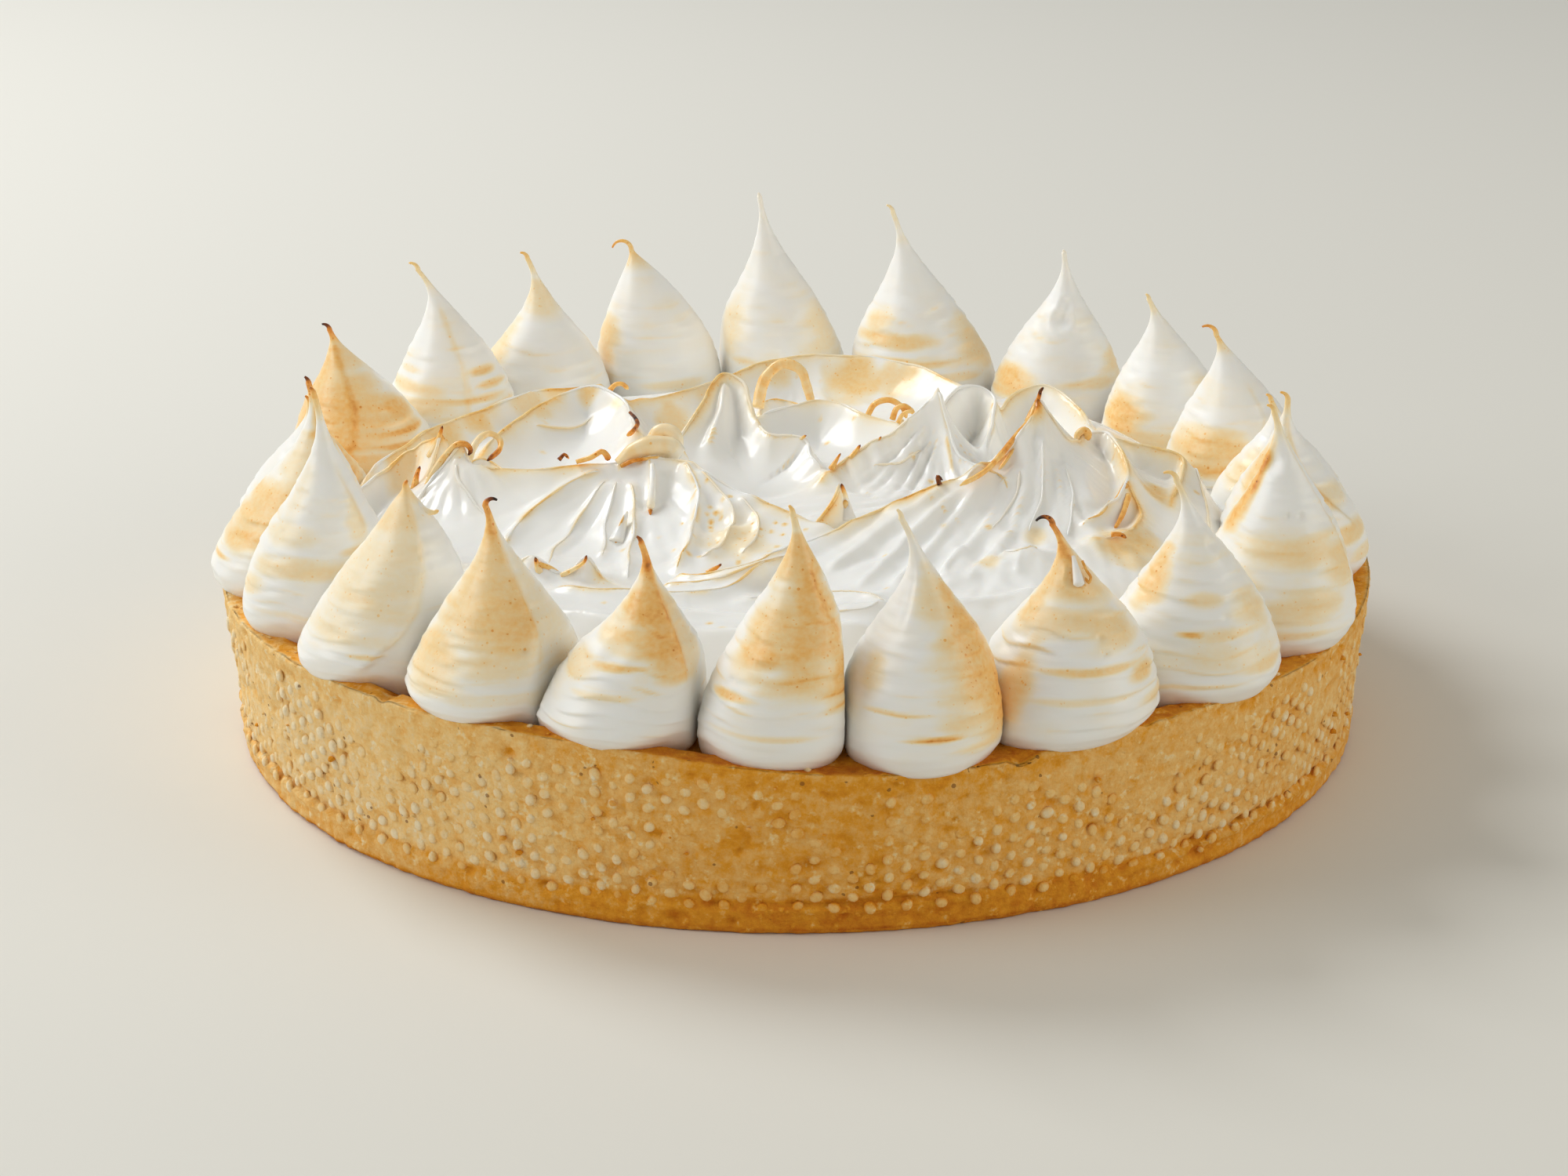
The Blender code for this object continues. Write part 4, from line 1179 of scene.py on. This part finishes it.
# ---------------------------------------------------------------------------------------------------
# The thin lips and drawn tips of the centre. The spatula pulls the crests out to fine edges, hooks and
# loops of meringue, which brown first under the torch and turn black at their points.

LIP_SIDES = 8
CREST_LIP_RADIUS = 0.44
RIDGE_LIP_RADIUS = 0.30
# Hooks, loops and small points: places (x, y, z in mm), radius at the start and at the end in mm, and how
# brown they are at the start and at the end.
LICKS = [
    # The black hook on the tallest peak, and the double rib below it.
    ([(48, -5.5, 62.6), (49.2, -3, 64.6), (50.2, -2, 66.6), (50.6, -2, 68.2), (51.2, -2, 68.9)],
     0.9, 0.3, 0.58, 1.0),
    ([(49.5, -3, 65), (48.1, -6.3, 63), (44.7, -12.2, 61.2), (38.7, -22, 57.8), (33, -27, 56)],
     0.75, 0.5, 0.54, 0.46),
    ([(47, -10, 61.6), (44.6, -14, 59.6), (42.2, -17.5, 57.4), (40, -20.5, 55.4)],
     0.5, 0.3, 0.50, 0.40),
    # The first peak at the left and the small dark point in front of it.
    ([(-76.4, 1, 53), (-74.9, 1, 56), (-74.1, 1, 58.6), (-73.7, 1, 59.9)], 1.1, 0.25, 0.35, 1.0),
    ([(-79.4, -5, 48), (-79, -4, 50.4), (-78.3, -3, 52.4)], 0.9, 0.3, 0.55, 0.95),
    # The second peak, whose end curls over.
    ([(-77, -9, 48.5), (-74.6, -8, 53.2), (-71.7, -7, 57), (-69.8, -7, 58.6), (-68, -7, 58.4),
      (-67.2, -7, 57.2), (-67.7, -7, 56.1)], 0.9, 0.5, 0.35, 0.98),
    ([(-71.3, -7, 56.5), (-71, -9, 53), (-68.5, -14, 50.2), (-63.4, -20, 47.4)], 0.4, 0.35, 0.42, 0.34),
    # The loose loop between the second peak and the folds.
    ([(-68.5, -2, 53), (-67, 3, 55.6), (-64.7, 6, 56.6), (-62.4, 6, 55.4), (-62.2, 3, 54),
      (-64.5, 0, 52.6)],
     0.9, 0.5, 0.30, 0.95),
    # The twisted knob behind the lip, cream with a brown underside.
    ([(-36.2, -9, 54.6), (-33.9, -8.5, 57), (-30.2, -7.5, 58.2), (-26.4, -6, 57.2), (-24.4, -6, 54.8)],
     1.7, 2.6, 0.30, 0.02),
    ([(-30.4, -3, 56.5), (-29, -2.5, 59.2), (-26.9, -2.5, 60), (-25, -3.4, 59), (-24.6, -4.4, 56.5)],
     1.5, 1.5, 0.28, 0.08),
    ([(-36, -10.4, 54.8), (-33.6, -10.8, 56), (-30.4, -10.4, 56.4), (-28, -9.4, 56.4)],
     0.5, 0.3, 0.66, 0.40),
    # The dark blob and flake at its left, and the dark twig behind.
    ([(-45.3, -9.2, 55.3), (-42.3, -9, 56.2), (-40.1, -8.8, 57.4), (-39, -9, 56.6),
      (-38.6, -9.3, 55.6)],
     0.5, 0.7, 0.50, 0.72),
    ([(-49, -7.6, 55.2), (-47.9, -7, 56.2), (-46.9, -7.4, 55.4)], 0.5, 0.3, 0.80, 0.60),
    ([(-35.9, 27, 54.6), (-34.6, 23.6, 54.4), (-34, 20.6, 54), (-34.8, 17, 53.6), (-36, 15.6, 53)],
     0.35, 0.6, 0.88, 0.62),
    # The drop that ran down from the knob, and the white spike below it.
    ([(-29.5, -13, 56), (-29.3, -18, 53), (-29.6, -22.4, 49.4)], 0.5, 0.85, 0.02, 0.20),
    ([(-29.6, -22.6, 49.4), (-29.6, -23.4, 48.6)], 0.5, 0.2, 0.70, 0.70),
    ([(-36.2, -31, 45), (-35.2, -28, 47.6), (-34.1, -26, 50.4)], 1.9, 0.3, 0.04, 0.10),
    ([(-36.4, -32.4, 44.6), (-35.8, -29.4, 47.2), (-34.6, -26.6, 49.8)], 0.5, 0.3, 0.55, 0.30),
    # The two points at the front left.
    ([(-49.8, -52, 45.6), (-50.4, -52, 48), (-50.9, -52, 49.9)], 1.3, 0.25, 0.30, 1.0),
    ([(-50.2, -52, 48.4), (-47.9, -52, 47.6), (-45.4, -52.4, 46)], 0.6, 0.4, 0.50, 0.20),
    ([(-45.8, -53, 46.4), (-42.6, -53, 48.2), (-41.2, -53, 49.4), (-40.8, -53, 50.6)],
     0.6, 0.25, 0.36, 1.0),
    # The ribbon looped up at the back, and the two little loops beside it.
    ([(-8.4, 43, 50.6), (-7.6, 45, 54.6), (-6, 46, 57.6), (-2.8, 47, 59.6), (1, 46, 58.4),
      (2.4, 45, 55),
      (3.6, 44, 51)], 1.5, 1.0, 0.40, 0.36),
    ([(15.3, 36, 50), (17.2, 37, 53.2), (20.4, 37, 54.2), (23.3, 36, 52.8), (24.2, 36, 50.4)],
     0.7, 0.6, 0.48, 0.42),
    ([(21.1, 35, 50.4), (22, 35, 52.8), (23.7, 35, 53.5), (25.8, 35, 52)], 0.7, 0.5, 0.50, 0.44),
    ([(22.3, 33.8, 50), (23.4, 33.8, 52), (25, 33.6, 52.6), (26.6, 33.4, 51.6)], 0.5, 0.4, 0.46, 0.40),
    # The spike in the valley, and the dark point on the great crest.
    ([(10.6, -23, 47), (9.9, -21, 50.4), (9.6, -21, 52.4), (9.2, -21, 54.4)], 1.9, 0.3, 0.06, 1.0),
    ([(10.2, -22.4, 48.4), (9.9, -21.8, 51.2)], 0.8, 0.6, 0.40, 0.62),
    ([(29, -23.6, 55), (28.6, -23, 56.6), (29.6, -23, 55.8)], 0.6, 0.3, 0.90, 0.90),
    # The curl on the lip of the hollow at the right, and the browned ribs inside it.
    ([(55.4, -1, 54.4), (58.3, 1, 55.6), (58.9, 2, 57.4), (60.2, 2, 58.3), (61, 2, 57.4),
      (60.4, 2, 56.2)],
     0.4, 1.0, 0.42, 0.56),
    ([(67.4, -17, 52.4), (64.4, -23, 50.6), (60, -29, 48.4)], 0.8, 0.4, 0.56, 0.40),
    ([(67.6, -20, 51.4), (66, -26, 49.6), (64, -31, 48.2)], 0.7, 0.4, 0.50, 0.60),
    # Torn flakes on the slope below the tallest peak.
    ([(40.8, -21.4, 51.6), (43, -21, 53.2), (45.1, -20.6, 54.2)], 0.5, 0.25, 0.50, 0.80),
    ([(42.6, -21.2, 53), (43.2, -21, 54)], 0.5, 0.2, 0.90, 1.0),
    ([(32.4, -23.4, 53), (33.6, -22.2, 54.2), (35.4, -22, 54.6)], 0.7, 0.3, 0.45, 0.40),
    ([(34.3, -24.6, 51.6), (35.9, -24.2, 51.9)], 0.5, 0.2, 0.60, 0.60),
    ([(50.4, -30, 47.8), (51.2, -30.2, 47.4), (52.8, -30.6, 46.2)], 0.5, 0.3, 0.40, 0.60),
    ([(62.6, -38, 49.4), (64.4, -38, 49.4), (65.6, -38.2, 48.7)], 0.6, 0.35, 0.55, 0.95),
    # Points along the layers at the front and on the second peak's torn crest.
    ([(-17.4, -52.6, 46.6), (-15.2, -52, 47.9), (-14.6, -52, 48.4)], 0.7, 0.2, 0.5, 0.98),
    ([(-7.2, -49.4, 46.6), (-6, -49, 48), (-5.3, -49, 48.6)], 0.8, 0.2, 0.5, 0.98),
    ([(7.4, 3, 49.6), (8.9, 5, 51.6), (9.4, 5, 52.4)], 0.7, 0.2, 0.55, 0.95),
    ([(11.4, 6, 50.8), (13, 7, 52.8), (13.6, 7, 53.6)], 0.7, 0.2, 0.50, 0.95),
    ([(15.4, 8, 52), (17.4, 9, 54), (18, 9, 54.8)], 0.6, 0.2, 0.45, 0.90),
    ([(0.4, 15, 51.6), (1.6, 14.4, 53), (2.2, 14.2, 53.4)], 0.6, 0.2, 0.30, 0.95),
    # The brown curl at the very back left.
    ([(-41.9, 56, 50.6), (-40.6, 56, 52), (-39, 56, 52.2), (-37.6, 56, 51)], 0.6, 0.5, 0.60, 0.45),
    # The white drop that ran from the tip of a front kiss, and the browned bubble beside it.
    ([(50.1, -96.6, 66.0), (50.5, -97.9, 64.2), (50.9, -99.0, 62.4), (51.1, -99.7, 61.2)],
     0.35, 1.15, 0.02, 0.04),
    ([(51.7, -96.9, 65.2), (52.5, -97.9, 63.6), (53.2, -98.4, 62.6), (52.8, -99.2, 61.8),
      (52.2, -98.7, 62.6)],
     0.25, 0.28, 0.56, 0.60),
    # The second tail of the kiss at the front left, which was pulled out sideways.
    ([(-74.2, -69, 66.2), (-72.4, -69.2, 67), (-70.2, -69.4, 65.6), (-68.4, -69.5, 65.2),
      (-67.4, -69.5, 65.6)],
     1.2, 0.35, 0.12, 0.55),
]


def add_rod(places, faces, toast, line, radii, browned):
    """A rod of meringue along a line in mm, closed at both ends."""
    line = np.asarray(line, float)
    along = np.gradient(line, axis=0)
    along /= np.linalg.norm(along, axis=1)[:, None] + 1e-9
    over = np.array([0.0, 0.0, 1.0]) if abs(along[0, 2]) < 0.9 else np.array([0.0, 1.0, 0.0])
    turns = np.arange(LIP_SIDES) * FULL_TURN / LIP_SIDES
    start = len(places)
    for place, way, radius, brown in zip(line, along, radii, browned):
        over = over - way * (over @ way)
        over = over / (np.linalg.norm(over) + 1e-9)
        side = np.cross(way, over)
        ring = place + radius * (np.cos(turns)[:, None] * side + np.sin(turns)[:, None] * over)
        places.extend((ring * MM).tolist())
        toast.extend([brown] * LIP_SIDES)
    ends = len(places)
    places.extend([(line[0] * MM).tolist(), (line[-1] * MM).tolist()])
    toast.extend([browned[0], browned[-1]])
    faces.extend((np.array(grid_faces(len(line), LIP_SIDES, True)) + start).tolist())
    faces.extend(end_caps(start, ends - LIP_SIDES, LIP_SIDES, ends, ends + 1))


def lip_lines():
    """The line of every torched crest and ridge in mm, where the torch caught it, how strongly, and the
    radius of its lip."""
    for number, (_, _, _, _, torched) in enumerate(CRESTS):
        if torched:
            yield *crest_line(number), torched, CREST_LIP_RADIUS
    for number, (points, _, _, torched) in enumerate(RIDGES, len(CRESTS)):
        if torched:
            line = curve_through([(a, b, 0.0) for a, b in points], CREST_STEP)
            patch = smooth(drift(line + (0, 0, 7.0 * number), 9.0, 250), -0.6, 0.3)
            yield line, patch, torched, RIDGE_LIP_RADIUS


def make_lips(material, flat, height):
    """A fine rounded edge along every torched crest and ridge of the heap, laid on its surface."""
    tree = KDTree(len(flat))
    for index, place in enumerate(flat):
        tree.insert(place, index)
    tree.balance()
    places, faces, toast = [], [], []
    for line, patch, torched, radius in lip_lines():
        wander = line * (1, 1, 0)
        line[:, 0] -= WANDER * drift(wander, 9.0, 200)
        line[:, 1] -= WANDER * drift(wander, 9.0, 201)
        for place in line:
            place[2] = max(height[index] for _, index, _ in tree.find_n((place[0], place[1], 0.0), 3))
        line[1:-1, 2] = (line[:-2, 2] + line[1:-1, 2] + line[2:, 2]) / 3.0
        share = np.linspace(0.0, 1.0, len(line))
        ends = smooth(share, 0.0, 0.10) * smooth(1.0 - share, 0.0, 0.10)
        uneven = 0.8 + 0.35 * drift(line, 5.0, 251)
        line[:, 2] -= 0.5 * radius + 0.8 * (1.0 - ends)
        brown = (0.50 + 0.2 * smooth(line[:, 2], 52.0, 64.0)) * patch * (0.7 + 0.3 * ends)
        brown = np.clip(torched * (brown + 0.12 * drift(line, 3.0, 252)), 0.0, 0.8)
        add_rod(places, faces, toast, line, radius * uneven * (0.35 + 0.65 * ends), brown)
    return make_skin("crest_lips", places, faces, material, {"toast": toast})


def make_licks(material):
    """The hooks, loops and points, each a rod that thins or swells along its line."""
    places, faces, toast = [], [], []
    for points, first_radius, last_radius, first_brown, last_brown in LICKS:
        line = curve_through(points, 0.5)
        share = np.linspace(0.0, 1.0, len(line))
        radii = first_radius + (last_radius - first_radius) * share
        radii = radii * (1.0 + 0.12 * drift(line, 2.5, 260))
        radii = radii * (0.4 + 0.6 * smooth(1.0 - share, 0.0, 0.06))
        brown = first_brown + (last_brown - first_brown) * share**4
        brown = brown + 0.10 * drift(line, 1.6, 261) * (share < 0.9)
        add_rod(places, faces, toast, line, radii, np.clip(brown, 0.0, 1.0))
    return make_skin("drawn_tips", places, faces, material, {"toast": toast})


for edge in (make_lips(swirled, heap_flat, heap_height), make_licks(swirled)):
    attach(edge, "root")


# ---------------------------------------------------------------------------------------------------
# Loose crumbs. Bits of pastry broke off the cut rim and lie on it beside the kisses, with a few that
# stuck to the side.

CRUMBS = 150
CRUMB_RINGS, CRUMB_SIDES = 6, 8


def make_crumbs(material):
    """Small uneven lumps, most of them on the rim."""
    random = np.random.default_rng(17)
    places, faces, bake = [], [], []
    angles = np.arange(CRUMB_SIDES) * FULL_TURN / CRUMB_SIDES
    unit = []
    for level in np.linspace(-0.95, 0.95, CRUMB_RINGS):
        across = math.sqrt(1.0 - level**2)
        flat_level = np.full(CRUMB_SIDES, 0.7 * level)
        unit.append(np.stack([across * np.cos(angles), across * np.sin(angles), flat_level], axis=1))
    unit = np.concatenate(unit)
    for _ in range(CRUMBS):
        turn = random.uniform(0.0, FULL_TURN)
        size = random.uniform(0.25, 0.75) * MM
        if random.uniform() < 0.45:
            height = random.uniform(2.0, 31.0) * MM
            radius = float(wall_radius(height / rim_height(turn)))
        else:
            height = float(rim_height(turn)) + 0.1 * MM
            radius = random.uniform(115.5, 118.6) * MM
        middle = wall_places(np.array([turn]), np.array([height]), radius)[0]
        lump = middle + size * unit * (1.0 + 0.45 * drift(unit + 3.0 * turn, 0.9, 270))[:, None]
        start = len(places)
        places.extend(lump.tolist())
        faces.extend((np.array(grid_faces(CRUMB_RINGS, CRUMB_SIDES, True)) + start).tolist())
        faces.append(tuple(range(start + CRUMB_SIDES - 1, start - 1, -1)))
        faces.append(tuple(range(start + len(unit) - CRUMB_SIDES, start + len(unit))))
        bake.extend([random.uniform(0.15, 0.6)] * len(unit))
    return make_skin("pastry_crumbs", places, faces, material, {"bake": bake})


crumbs = make_crumbs(pastry)
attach(crumbs, "root")
